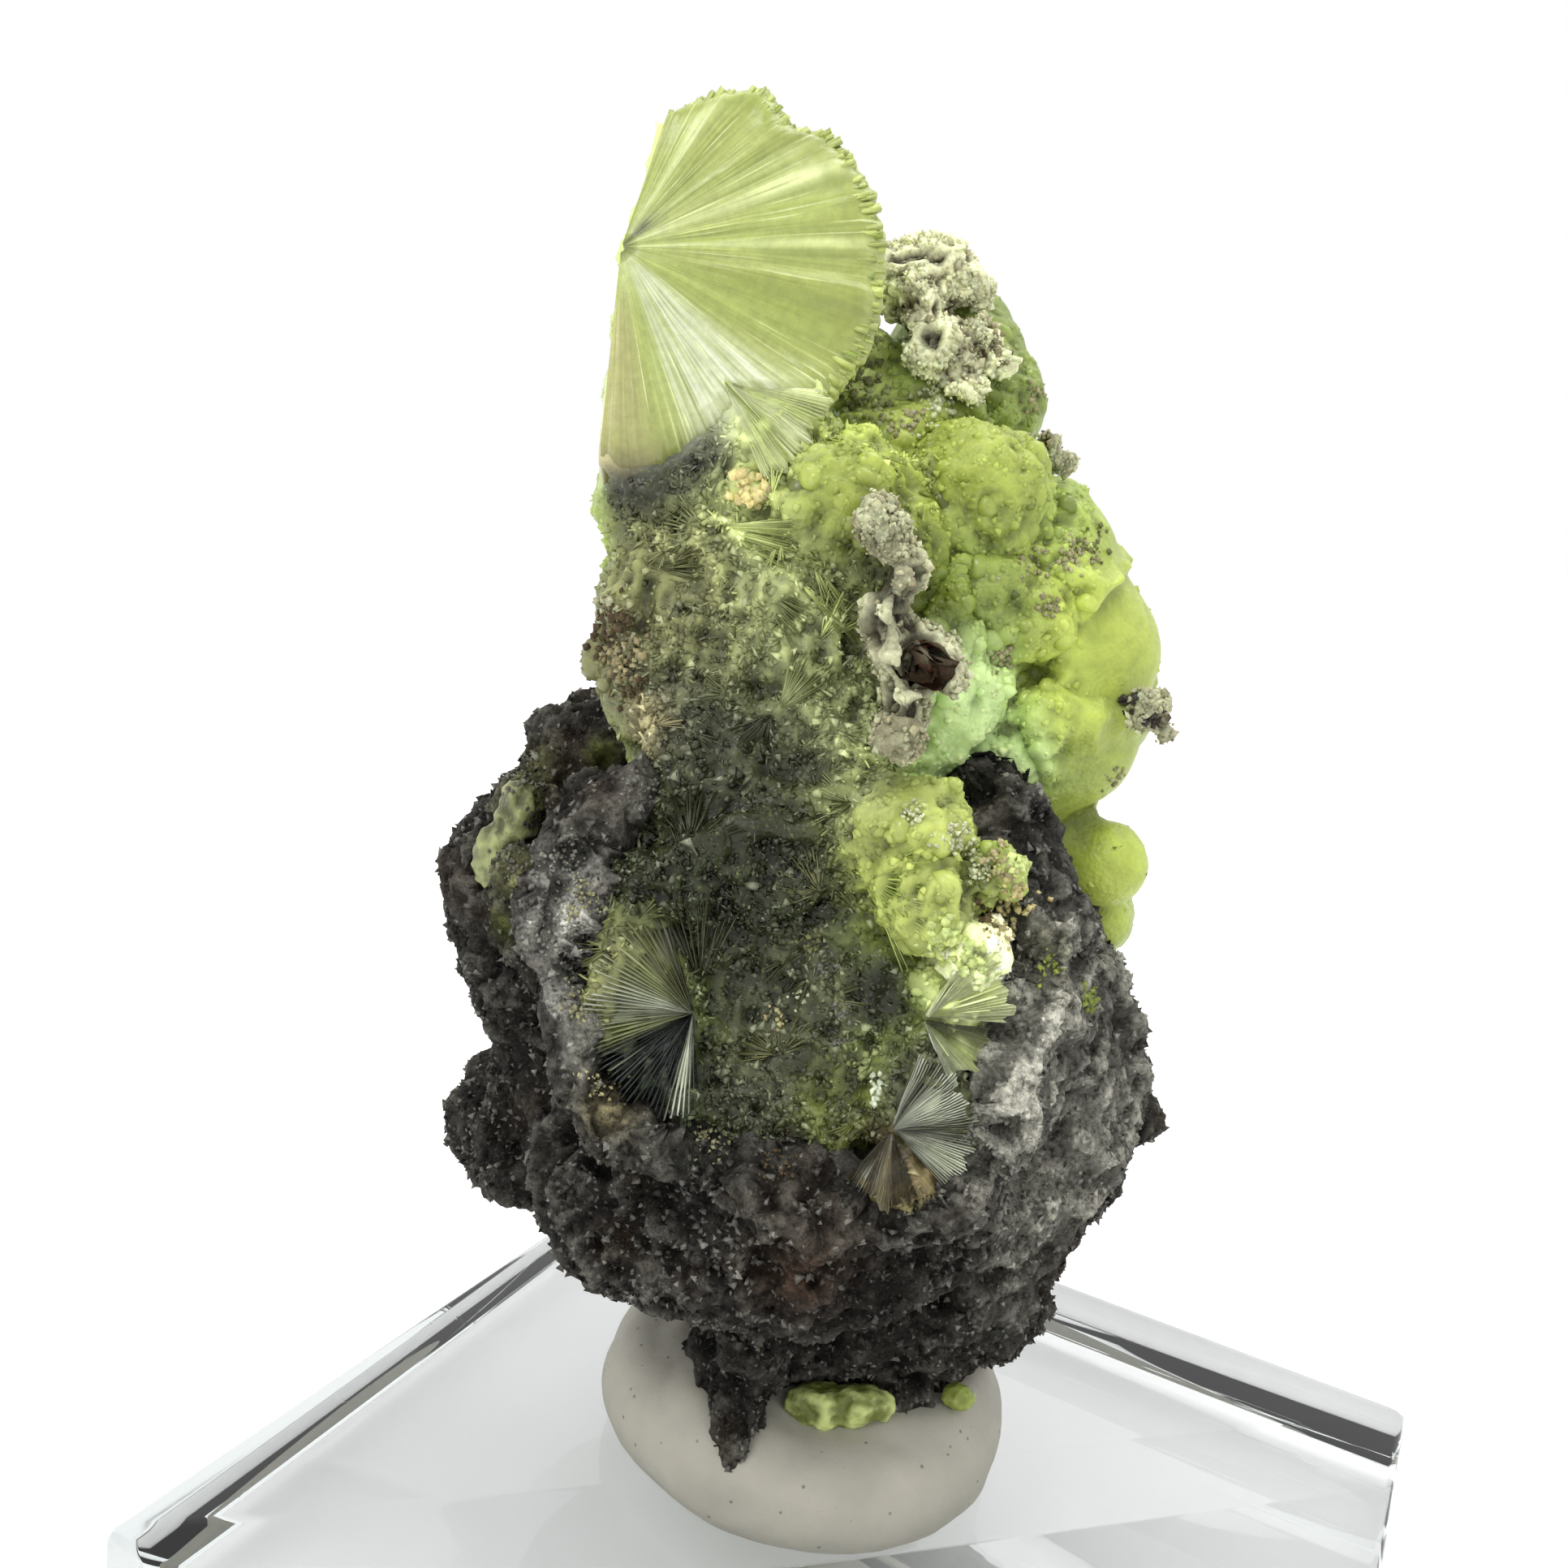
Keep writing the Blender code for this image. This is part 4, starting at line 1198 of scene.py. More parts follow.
def build_spray_fibres():
    """Loose fibres that stand a little off each small fan but the first, which has none."""
    shapes = []
    for hub, first, last, forward, reach, tint_of, seed in SMALL_FANS[1:]:
        count = 60
        angles = RNG.uniform(first, last, count)
        share = RNG.uniform(0.35, 1.04, count)
        start = RNG.uniform(0.0, 0.5, count) * share
        tilts = np.radians(RNG.normal(forward + 3.0, 3.5, count))[:, None]
        ways = flat_directions(angles) * np.cos(tilts) + OUT * np.sin(tilts)
        widths = RNG.uniform(0.02, 0.06, count)
        tints = tint_of(angles, share, seed + 5) * RNG.uniform(1.0, 1.7, (count, 1))
        inner, outer = (np.array(hub) + ways * (reach * part)[:, None] for part in (start, share))
        shapes.append(rods(inner, outer, OUT, widths, widths, tints, roll=0.8))
    return join_shapes(shapes)


# Needle fans on the broken face: photo pixel of the hub, first and last angle on the photo in degrees,
# length in pixels, number of tries to place a needle, colour
BURSTS = {
    "upper": (878, 648, -32, 6, 110, 120, PALE_LIME),
    "upper_left": (870, 655, 120, 230, 60, 48, PALE_OLIVE),
    "blade_a": (972, 702, -52, -42, 130, 32, PALE_LIME),
    "blade_b": (930, 720, -60, -20, 90, 48, PALE_OLIVE),
    "blade_c": (1000, 690, -75, -50, 80, 28, PALE_LIME),
    "middle": (960, 874, 18, 78, 85, 108, PALE_OLIVE),
    "middle_low": (950, 880, 200, 280, 60, 48, SMOKE),
    "right": (1010, 790, 20, 80, 70, 40, PALE_LIME),
    "left": (810, 700, -20, 60, 60, 48, OLIVE_GREY),
    "low_right": (1050, 990, 130, 240, 60, 52, PALE_OLIVE),
    "hollow_top": (850, 1040, 10, 170, 80, 60, SMOKE),
    "hollow_spikes": (862, 1215, 60, 120, 120, 52, SMOKE),
    "hollow_right": (1010, 1100, 80, 200, 60, 60, OLIVE_GREY),
    "hollow_low": (960, 1300, 20, 200, 60, 60, OLIVE_GREY),
    "lime_left": (1060, 1080, -60, 40, 80, 80, LIME),
    "lime_plate": (1075, 1100, -70, 0, 110, 72, PALE_LIME),
}

# No needle is longer than this, in mm
BURST_REACH = 3.5


def build_bursts(tree):
    """Needles that lie on the broken face and spread from named places."""
    shapes = []
    for u, v, first, last, length, count, tint in BURSTS.values():
        hub = photo_spot(tree, u, v)
        if hub is None:
            continue
        starts, ends = [], []
        for _ in range(count):
            turn = math.radians(RNG.uniform(first, last))
            far = length * RNG.uniform(0.5, 1.0)
            tip = photo_spot(tree, u + far * math.cos(turn), v - far * math.sin(turn))
            if tip is None or np.linalg.norm(tip - hub) > BURST_REACH:
                continue
            starts.append(hub + OUT * 0.02 + (tip - hub) * RNG.uniform(0.0, 0.4))
            ends.append(tip + OUT * RNG.uniform(0.0, 0.12))
        if not starts:
            continue
        widths = RNG.uniform(0.02, 0.065, len(starts))
        tints = tint * RNG.uniform(0.75, 1.2, (len(starts), 1))
        shapes.append(rods(np.array(starts), np.array(ends), OUT, widths, widths * 0.8, tints, roll=0.8))
    return join_shapes(shapes)


def split_face_weight(points):
    """1 on the rough split face and in the hollow, 0 elsewhere and where a small fan lies."""
    weight = (1.0 - botryoid_weight(points)) * (1.0 - fan_weight(points)) * (points[:, 1] < 3.5)
    for hub, first, last, _, reach, *_ in SMALL_FANS:
        away = points - np.array(hub)
        far = np.linalg.norm(away, axis=1)
        middle = math.radians((first + last) / 2.0)
        turned = np.arctan2(away[:, 2], away[:, 0]) - middle
        turned = np.degrees(np.abs((turned + math.pi) % (2.0 * math.pi) - math.pi))
        weight = weight * (1.0 - (far < reach) * (turned < (last - first) / 2.0 + 4.0))
    return weight


def build_sheaves(skin):
    """Broken tufts all over the split face: a few needles that spread from a point along the surface."""
    count, needles = 170, 12
    places, normals, tints = pick_points(skin, split_face_weight(skin.points), count)
    lengths = RNG.uniform(0.35, 1.1, count)
    frames = turned_frames(normals, RNG.uniform(0.0, 2.0 * math.pi, count))[:, None]
    each = (count, needles, 1)
    turn = RNG.uniform(-0.5, 0.5, each)
    lift = RNG.uniform(0.0, 0.24, each)
    ways = frames[..., 0] * np.cos(turn) + frames[..., 1] * np.sin(turn) + normals[:, None, :] * lift
    far = lengths[:, None, None] * RNG.uniform(0.5, 1.0, each)
    origin = (places - normals * 0.05)[:, None, :]
    starts = (origin + ways * far * RNG.uniform(0.0, 0.3, each)).reshape(-1, 3)
    ends = (origin + ways * far).reshape(-1, 3)
    widths = RNG.uniform(0.02, 0.07, len(starts))
    shades = np.repeat(tints * RNG.uniform(0.8, 1.2, (count, 1)), needles, axis=0)
    shades = shades * RNG.uniform(0.8, 1.2, (len(starts), 1))
    out = np.repeat(normals, needles, axis=0)
    return rods(starts, ends, out, widths, widths * 0.7, shades, roll=0.9)


def build_chips(skin, weight):
    """Frosted chips that lie every way on the split face and in the hollow."""
    count = 9500
    places, _, tints, frames = scatter(skin, weight, count, 0.9)
    sizes = (0.12 + 0.34 * RNG.random((count, 1)) ** 2) * RNG.uniform(0.5, 1.2, (count, 3))
    bright = RNG.random((count, 1))
    # A random tone for each chip, with a painted highlight of silver on the brightest
    tints = tints * (0.7 + 0.9 * bright**2) + SILVER * 0.3 * bright**6
    return repeat_shape(CHIP_CORNERS, CHIP_FACES, places, frames, sizes * FLATTENED, tints)


def build_blades(skin, weight):
    """Short blades that lie along the split face."""
    count = 2400
    places, normals, tints, frames = scatter(skin, weight, count, 0.3)
    reach = RNG.uniform(0.12, 0.36, (count, 1))
    ends = places + frames[:, :, 0] * reach + normals * RNG.uniform(-0.02, 0.12, (count, 1))
    widths = RNG.uniform(0.04, 0.1, count)
    # A random tone for each blade, with a painted highlight of silver on a few
    tints = tints * RNG.uniform(0.7, 1.4, (count, 1)) + SILVER * 0.2 * RNG.random((count, 1)) ** 4
    return rods(places - normals * 0.04, ends, normals, widths, widths * 0.6, tints, roll=0.9)


def build_face_crystals(skin):
    clumps = smooth_step(layered(skin.points, 1.2, 2, 61), -0.4, 0.5)
    weight = split_face_weight(skin.points) * (0.3 + clumps)
    return join_shapes((build_chips(skin, weight), build_blades(skin, weight)))


def sugary_part(points):
    """1 on the front lumps, which are sugary, 0 on the waxy lumps at the right and behind."""
    return (1.0 - smooth_step(points[:, 0], 1.6, 3.0)) * (1.0 - smooth_step(points[:, 1], 3.5, 6.0))


def outside_weight(points):
    """1 on the rounded, unbroken outside, 0 elsewhere and on the big fan."""
    return botryoid_weight(points) * (1.0 - fan_weight(points))


def build_botryoid_beads(skin):
    """Small uneven knobs sunk into the sugary lumps, each with its own size and tone, with painted light
    that makes them paler on top.
    """
    count, sunk, flat = 700, 0.5, 0.85
    weight = outside_weight(skin.points)
    weight = weight * (weight > 0.7) * (0.04 + sugary_part(skin.points))
    places, normals, tints = pick_points(skin, weight, count)
    radii = RNG.uniform(0.16, 0.42, count)
    kept = thin_out(places, radii * 1.05)
    places, normals, tints, radii = places[kept], normals[kept], tints[kept], radii[kept]
    count = len(kept)
    frames = turned_frames(random_directions(normals, 0.15), RNG.uniform(0.0, FULL_TURN, count))
    widths, depths = RNG.uniform(0.85, 1.15, count), RNG.uniform(0.85, 1.15, count)
    sizes = radii[:, None] * np.stack((widths, depths, np.full(count, flat)), axis=1)
    tints = tints * RNG.uniform(0.88, 1.14, (count, 1))
    corners, faces = ball(2)
    shape = repeat_shape(corners, faces, places - normals * (radii * sunk)[:, None], frames, sizes, tints)
    # Painted light: paler towards the top of each knob, darker towards its base
    shape.tint = shape.tint * (0.92 + 0.16 * np.tile(corners[:, 2], count))[:, None]
    shape.points = shape.points + shape.normals() * layered(shape.points, 0.3, 2, 77)[:, None] * 0.12
    return shape


def build_sugar(skin, knobs):
    """Small blunt crystals, half sunk: side by side on the sugary lumps, sparse on the waxy ones."""
    shapes = []
    for source, outside, count in ((skin, outside_weight(skin.points), 7200), (knobs, 1.0, 1500)):
        weight = (0.05 + sugary_part(source.points)) * outside
        places, normals, tints, frames = scatter(source, weight, count, 0.7)
        widths = 0.2 + 0.24 * RNG.random(count) ** 1.5
        sizes = widths[:, None] * RNG.uniform(0.75, 1.1, (count, 3))
        places = places - normals * (widths * RNG.uniform(0.12, 0.3, count))[:, None]
        tints = np.minimum(tints * RNG.uniform(0.95, 1.22, (count, 1)), 0.95)
        shapes.append(repeat_shape(GRAIN_CORNERS, GRAIN_FACES, places, frames, sizes, tints))
    return join_shapes(shapes)


# Rock, crust and putty


def rough_rock(skin):
    """Raise ledges, crags and pits on a rock skin, with painted light where it stands out and painted
    shade where it sinks.
    """
    points = skin.points
    broad = layered(points, 2.4, 3, 101)
    rough = layered(points, 0.8, 3, 161)
    pits = smooth_step(layered(points, 1.1, 3, 171), 0.15, 0.5)
    sharp = ridged(points + 0.4 * broad[:, None], 1.5, 4, 191)
    height = 0.26 * broad + 0.34 * rough + 0.26 * sharp - 0.5 * pits
    skin.points = points + skin.normals() * (height - 0.02)[:, None]
    # Painted shade where the skin sinks and painted light where it stands out
    level = -skin.cavity(16)
    tint = fade(ROCK_LOW, ROCK_MID, smooth_step(level, -0.12, 0.16))
    tint = fade(tint, ROCK_HIGH, 0.5 * smooth_step(level, 0.04, 0.22))
    brown = smooth_step(layered(points, 1.7, 2, 181), 0.0, 0.6)
    skin.tint = fade(tint, ROCK_BROWN, 0.3 * brown)
    return skin


# Places on the rock that are paler, greener or darker than the rest: photo pixel, radius in mm, colour
ROCK_PLACES = {
    "right_upper": (1370, 1170, 2.2, ROCK_HIGH * 2.0),
    "right_side": (1290, 1300, 3.4, ROCK_HIGH * 2.7),
    "right_edge": (1370, 1380, 2.4, ROCK_HIGH * 2.4),
    "right_low": (1290, 1480, 2.2, ROCK_HIGH * 2.6),
    "right_foot": (1250, 1600, 1.4, ROCK_HIGH),
    "rim_top": (790, 985, 0.6, ROCK_HIGH),
    "rim_top_left": (735, 1030, 0.8, ROCK_HIGH * 1.3),
    "rim_left_upper": (700, 1080, 0.8, ROCK_PALE * 1.3),
    "rim_left": (700, 1140, 0.8, ROCK_PALE * 1.4),
    "rim_left_low": (708, 1220, 0.7, ROCK_PALE * 1.1),
    "rim_low_left": (730, 1300, 0.7, ROCK_HIGH * 1.4),
    "rim_corner": (750, 1365, 0.6, TAN * 0.6),
    "rim_bottom_left": (860, 1410, 0.6, ROCK_HIGH),
    "rim_bottom": (980, 1450, 0.6, ROCK_MID * 1.4),
    "rim_bottom_right": (1130, 1480, 0.7, ROCK_HIGH),
    "rim_low_right": (1215, 1400, 0.8, ROCK_HIGH * 1.3),
    "rim_right": (1240, 1290, 0.8, ROCK_HIGH * 1.5),
    "rim_right_green": (1290, 1180, 0.7, OLIVE_GREY),
    "left_lobe_green_low": (640, 1080, 0.8, OLIVE_GREY * 1.4),
    "left_lobe_green": (645, 1020, 0.9, OLIVE_GREY * 1.5),
    "left_lobe_top": (655, 950, 0.8, OLIVE_GREY),
    "left_lobe_spot": (745, 930, 0.5, OLIVE * 0.7),
    "left_lobe_dot": (620, 1140, 0.5, OLIVE * 0.7),
    # Painted shade in the cavity by the left lobe
    "cavity_left": (700, 990, 0.7, ROCK_LOW * 0.7),
    "cavity": (735, 985, 0.9, ROCK_BROWN * 0.5),
    # Painted shade low down on the rock, towards the putty
    "under": (1100, 1610, 2.0, ROCK_LOW * 1.2),
    "under_left": (870, 1660, 1.4, ROCK_LOW),
    "middle_brown": (1000, 1560, 1.6, ROCK_BROWN * 1.1),
    "lobe": (600, 1300, 2.2, ROCK_MID),
    "lobe_low": (620, 1420, 1.6, ROCK_LOW * 1.6),
}

# Share of a zone's own colour where the rock is stained most
ROCK_STAIN = 0.85


def stain(shape, zones, strength):
    """Shift a shape's colours towards its zones, keeping its light and dark grain."""
    target = blend_zones(shape.points, zones, ROCK_MID)
    share = np.zeros(len(shape.points))
    for centre, radius, _ in zones:
        share = np.maximum(share, hump(np.linalg.norm(shape.points - centre, axis=1), 0.0, radius))
    grain = shape.tint.mean(axis=1, keepdims=True) / ROCK_MID.mean()
    shape.tint = fade(shape.tint, target * np.clip(grain, 0.5, 1.6), share * strength)


def build_rock_grains(rock):
    """Dusty pale and dark chips all over the rock."""
    count = 38000
    patchy = 0.4 + smooth_step(layered(rock.points, 1.6, 2, 171), -0.3, 0.4)
    places, _, tints, frames = scatter(rock, patchy, count, 0.9)
    sizes = (0.12 + 0.22 * RNG.random((count, 1)) ** 2.0) * RNG.uniform(0.6, 1.2, (count, 3))
    kind = RNG.random((count, 1))
    pale = tints * 1.1 + ROCK_PALE * RNG.uniform(0.15, 0.5, (count, 1))
    mid = tints * 1.1 + ROCK_HIGH * 0.28
    tints = np.where(kind > 0.6, pale, np.where(kind > 0.35, mid, tints * 0.7))
    tints = tints * RNG.uniform(0.75, 1.25, (count, 1))
    return repeat_shape(CHIP_CORNERS, CHIP_FACES, places, frames, sizes, tints)


def crust_pits(points):
    return noise(points, 0.8, 251)


def build_crust(node, voxel, tone):
    """A crust node as lumps grown together round pits, with painted light where they stand out and painted
    shade in their sunk parts and pits.
    """
    skin = dense_skin(node, voxel, 2)
    points = skin.points
    large, large_label = bumps(points, 0.95, 201)
    lumpy, label = bumps(points, 0.42, 211)
    sharp = ridged(points, 0.8, 3, 231)
    broad = noise(points, 1.1, 241)
    pits = smooth_step(crust_pits(points), 0.05, 0.4)
    height = 0.24 * (large - 0.5) + 0.14 * (lumpy - 0.5) + 0.14 * sharp + 0.2 * broad - 0.4 * pits
    skin.points = points + skin.normals() * height[:, None]
    # Painted shade where the skin sinks, painted light where it stands out
    skin.tint = fade(CRUST_LOW, CRUST_HIGH, smooth_step(-skin.cavity(10), -0.07, 0.05)) * tone
    skin.tint = skin.tint * (0.55 + 0.35 * label + 0.35 * large_label)[:, None]
    skin.tint = fade(skin.tint, BROWN, 0.5 * smooth_step(noise(points, 1.0, 261), 0.0, 0.5))
    # Painted shade in the sunk pits
    skin.tint = skin.tint * (1.0 - 0.7 * pits[:, None])
    return skin


def build_crust_grains(crusts, hollow):
    """Pale and rusty grains on the crusts, heaped up between their pits, and none in the rusty hollow."""
    shapes = []
    for skin, count in crusts:
        heaped = 0.03 + smooth_step(-crust_pits(skin.points), -0.2, 0.3)
        heaped = heaped * (np.linalg.norm(skin.points - hollow, axis=1) > HOLLOW_BARE)
        places, normals, tints = pick_points(skin, heaped, count)
        places = places + normals * (0.12 * RNG.random((count, 1)) ** 2)
        frames = turned_frames(random_directions(normals, 0.9), RNG.uniform(0.0, FULL_TURN, count))
        sizes = (0.1 + 0.26 * RNG.random((count, 1)) ** 2.2) * RNG.uniform(0.5, 1.2, (count, 3))
        kind = RNG.random((count, 1))
        fresh = np.where(kind > 0.3, CRUST_HIGH, np.where(kind > 0.05, CRUST_MID, CRUST_LOW))
        tints = (fresh * 0.45 + tints * 0.65) * RNG.uniform(0.8, 1.25, (count, 1))
        shapes.append(repeat_shape(GRAIN_CORNERS, GRAIN_FACES, places, frames, sizes, tints))
    return join_shapes(shapes)


def hollow_out(shape, spot, radius, depth, tint):
    """Sink a shape's surface round a spot and stain it."""
    share = hump(np.linalg.norm(shape.points - spot, axis=1), 0.0, radius, 4)
    shape.points = shape.points - shape.normals() * share[:, None] * depth
    shape.tint = fade(shape.tint, tint, share)


# The ridge's rusty hollow: photo pixel of its middle, radius, depth and the bare ring round it in mm
HOLLOW_PIXEL = (1140, 812)
HOLLOW_RADIUS = 0.66
HOLLOW_DEPTH = 0.75
HOLLOW_BARE = 1.05


def build_crusts():
    """The crust pieces with the number of grains on each, and the middle of the ridge's rusty hollow."""
    ridge = build_crust("crust_ridge", CRUST_VOXEL, 1.05)
    hollow = photo_spot(ridge.tree(), *HOLLOW_PIXEL)
    hollow_out(ridge, hollow, HOLLOW_RADIUS, HOLLOW_DEPTH, AMBER * 1.2)
    crusts = {
        "crust_ridge": (ridge, 1500),
        "crust_top": (build_crust("crust_top", CRUST_VOXEL, 1.8), 1700),
        "crust_knob_upper": (build_crust("crust_knob_upper", KNOB_VOXEL, 1.0), 160),
        "crust_knob_lower": (build_crust("crust_knob_lower", KNOB_VOXEL, 1.0), 220),
    }
    return crusts, hollow


# Heaps of grains: photo pixel, spread in pixels, number of grains, their size in mm, colour
HEAPS = {
    "peach": (926, 600, 11, 34, 0.3, PEACH * 1.3),
    "peach_right": (944, 606, 6, 8, 0.22, TAN),
    "left_bump_a": (752, 770, 16, 70, 0.24, BROWN * 0.75),
    "left_bump_b": (765, 815, 14, 60, 0.22, TAN * 0.7),
    "left_bump_c": (742, 745, 10, 30, 0.22, CRUST_HIGH * 0.7),
    "left_bump_d": (780, 850, 12, 34, 0.2, BROWN),
    "left_patch_a": (640, 960, 14, 40, 0.13, ROCK_HIGH),
    "left_patch_b": (662, 1010, 12, 40, 0.14, ROCK_MID),
    "left_patch_c": (630, 1060, 14, 40, 0.13, ROCK_HIGH),
    "cream_a": (1125, 1000, 10, 40, 0.15, CRUST_HIGH),
    "cream_b": (1178, 1035, 14, 80, 0.15, CRUST_HIGH),
    "cream_c": (1205, 1070, 11, 36, 0.15, CRUST_HIGH),
    "cream_d": (1240, 1065, 14, 50, 0.18, TAN),
    "cream_e": (1250, 1110, 14, 60, 0.2, PEACH),
    "cream_f": (1236, 1145, 11, 36, 0.18, TAN),
    "cream_g": (1215, 1130, 8, 24, 0.2, BROWN),
    "lime_knob": (1248, 1060, 9, 30, 0.24, PALE_LIME),
    "lime_flakes_a": (1190, 1180, 14, 46, 0.28, PALE_LIME),
    "lime_flakes_b": (1212, 1215, 11, 34, 0.26, CREAM_LIME),
    "lime_flakes_c": (1170, 1150, 14, 30, 0.26, PALE_LIME),
    "grey_lumps_a": (1062, 420, 16, 70, 0.24, PALE_OLIVE),
    "grey_lumps_b": (1050, 465, 16, 60, 0.24, OLIVE_GREY),
    "grey_lumps_c": (1072, 500, 13, 50, 0.24, PALE_OLIVE),
    "knob_left": (1290, 545, 11, 50, 0.18, CRUST_MID),
    "curl": (1274, 490, 7, 24, 0.18, CRUST_MID),
    "dome_streak_a": (1228, 425, 11, 46, 0.18, CRUST_MID),
    "dome_streak_b": (1205, 400, 10, 40, 0.18, CRUST_HIGH),
    "dome_low": (1150, 495, 14, 60, 0.2, CRUST_HIGH),
    "dome_low_left": (1120, 520, 10, 30, 0.2, CRUST_MID),
    "right_patch_a": (1325, 685, 13, 60, 0.17, CRUST_MID),
    "right_patch_b": (1292, 745, 9, 40, 0.17, CRUST_MID),
    "right_patch_c": (1270, 690, 12, 46, 0.17, CRUST_MID),
    "right_patch_d": (1235, 812, 7, 26, 0.17, CRUST_MID),
    "right_patch_e": (1345, 670, 10, 30, 0.17, OLIVE_GREY),
    "spot_a": (1392, 868, 7, 30, 0.2, ROCK_MID),
    "spot_b": (1418, 885, 7, 30, 0.2, ROCK_MID),
    "spot_c": (1375, 955, 8, 24, 0.16, CRUST_MID),
    "spot_d": (1368, 990, 6, 14, 0.16, CRUST_MID),
    "vug_bit_a": (985, 1225, 7, 18, 0.15, CRUST_HIGH),
    "vug_bit_b": (960, 1255, 7, 20, 0.15, TAN),
    "vug_bit_c": (1035, 1285, 8, 16, 0.15, ROCK_HIGH),
    "vug_bit_d": (1068, 1315, 9, 26, 0.2, PALE_OLIVE),
    "vug_bit_e": (1085, 1340, 8, 20, 0.2, SILVER),
    "vug_bit_f": (1020, 1190, 8, 16, 0.18, ROCK_HIGH),
    "vug_bit_g": (1000, 1165, 10, 24, 0.18, OLIVE_GREY),
    "vug_bit_h": (1040, 1250, 8, 18, 0.18, ROCK_HIGH),
    "rim_bit_a": (790, 970, 14, 50, 0.13, ROCK_HIGH),
    "rim_bit_b": (700, 1060, 16, 80, 0.13, ROCK_HIGH * 1.4),
    "rim_bit_c": (690, 1150, 16, 80, 0.13, ROCK_HIGH * 1.4),
    "rim_bit_d": (720, 1110, 14, 60, 0.12, CRUST_MID),
    "rim_bit_e": (715, 1240, 14, 60, 0.13, CRUST_MID),
    "rim_bit_f": (740, 1340, 12, 40, 0.13, TAN),
    "rim_bit_g": (875, 1405, 12, 50, 0.13, CRUST_MID),
    "rim_bit_h": (960, 1440, 14, 40, 0.13, BROWN),
    "lower_crack": (1195, 1400, 12, 40, 0.14, ROCK_HIGH),
    "foot_bit": (1180, 1722, 7, 16, 0.2, LIME),
    "rock_right_green": (1290, 1190, 10, 36, 0.15, OLIVE),
    "rock_right_amber": (1345, 1230, 8, 30, 0.22, LIME * 0.6),
}

# No grain of a heap lies further than this from its middle, in mm
HEAP_REACH = 1.6


def build_heaps(tree):
    """Grains heaped at named places on whatever the camera sees there."""
    places, sizes, tints = [], [], []
    for u, v, spread, count, size, tint in HEAPS.values():
        centre = photo_spot(tree, u, v)
        if centre is None:
            continue
        for _ in range(count):
            spot = photo_spot(tree, u + RNG.normal(0.0, spread), v + RNG.normal(0.0, spread))
            if spot is None or np.linalg.norm(spot - centre) > HEAP_REACH:
                continue
            places.append(spot + OUT * RNG.uniform(-0.08, 0.08))
            sizes.append(size * RNG.uniform(0.6, 1.5) * RNG.uniform(0.7, 1.25, 3))
            tints.append(tint * RNG.uniform(0.8, 1.4))
    ways = random_directions(np.tile(OUT, (len(places), 1)), 1.2)
    frames = turned_frames(ways, RNG.uniform(0.0, FULL_TURN, len(places)))
    places, sizes, tints = np.array(places), np.array(sizes), np.array(tints)
    return repeat_shape(GRAIN_CORNERS, GRAIN_FACES, places, frames, sizes, tints)


def build_patch(node, seed, low, high):
    """A small patch of crystals that shows through the rock, mottled between two colours."""
    skin = dense_skin(node, PATCH_VOXEL, 3)
    rough = layered(skin.points, 0.5, 3, seed)
    sharp = ridged(skin.points, 0.6, 2, seed + 5)
    skin.points = skin.points + skin.normals() * (0.16 * rough + 0.08 * sharp)[:, None]
    skin.tint = fade(low, high, smooth_step(rough + 0.4 * sharp, -0.3, 0.6))
    return skin


# The putty, in mm: its middle, its depth for a width of 1, and its outline as radius and height
PUTTY_MIDDLE = np.array((-1.95, 1.9, 0.0))
PUTTY_DEPTH = 1.1
PUTTY_OUTLINE = (
    (0.0, 3.15), (1.5, 3.15), (3.0, 3.2), (4.2, 3.3), (5.1, 3.28), (5.8, 3.05), (6.3, 2.6), (6.6, 2.0),
    (6.7, 1.4), (6.6, 0.8), (6.3, 0.3), (5.9, 0.02), (5.4, -0.03), (3.0, -0.03), (0.0, -0.03),
)


def smooth_outline(outline, steps):
    """More points along an outline, rounded between its corners."""
    rows = np.array(outline)
    along = np.concatenate(([0.0], np.cumsum(np.linalg.norm(np.diff(rows, axis=0), axis=1))))
    wanted = np.linspace(0.0, along[-1], steps)
    fine = np.stack([np.interp(wanted, along, rows[:, axis]) for axis in (0, 1)], axis=1)
    for _ in range(6):
        fine[1:-1] = (fine[:-2] + 2.0 * fine[1:-1] + fine[2:]) / 4.0
    return fine


def spun(outline, turns, depth):
    """An outline of radius and height spun round z: a closed shell whose ends are on the axis."""
    angles = np.linspace(0.0, 2.0 * math.pi, turns, endpoint=False)
    radii, heights = outline[1:-1].T
    ring = np.stack((np.cos(angles), np.sin(angles) * depth), axis=1)
    levels = np.repeat(heights, turns).reshape(-1, turns, 1)
    points = np.concatenate((ring[None, :, :] * radii[:, None, None], levels), axis=2).reshape(-1, 3)
    ends = ((0.0, 0.0, outline[0, 1]), (0.0, 0.0, outline[-1, 1]))
    count = len(points)
    index = np.arange(count).reshape(-1, turns)
    beside = np.roll(index, -1, axis=1)
    sides = quad_faces(index[:-1], index[1:], beside[1:], beside[:-1])
    cap_top = np.stack((np.full(turns, count), index[0], beside[0]), axis=1)
    cap_bottom = np.stack((np.full(turns, count + 1), beside[-1], index[-1]), axis=1)
    return np.concatenate((points, ends)), np.concatenate((sides, cap_top, cap_bottom))


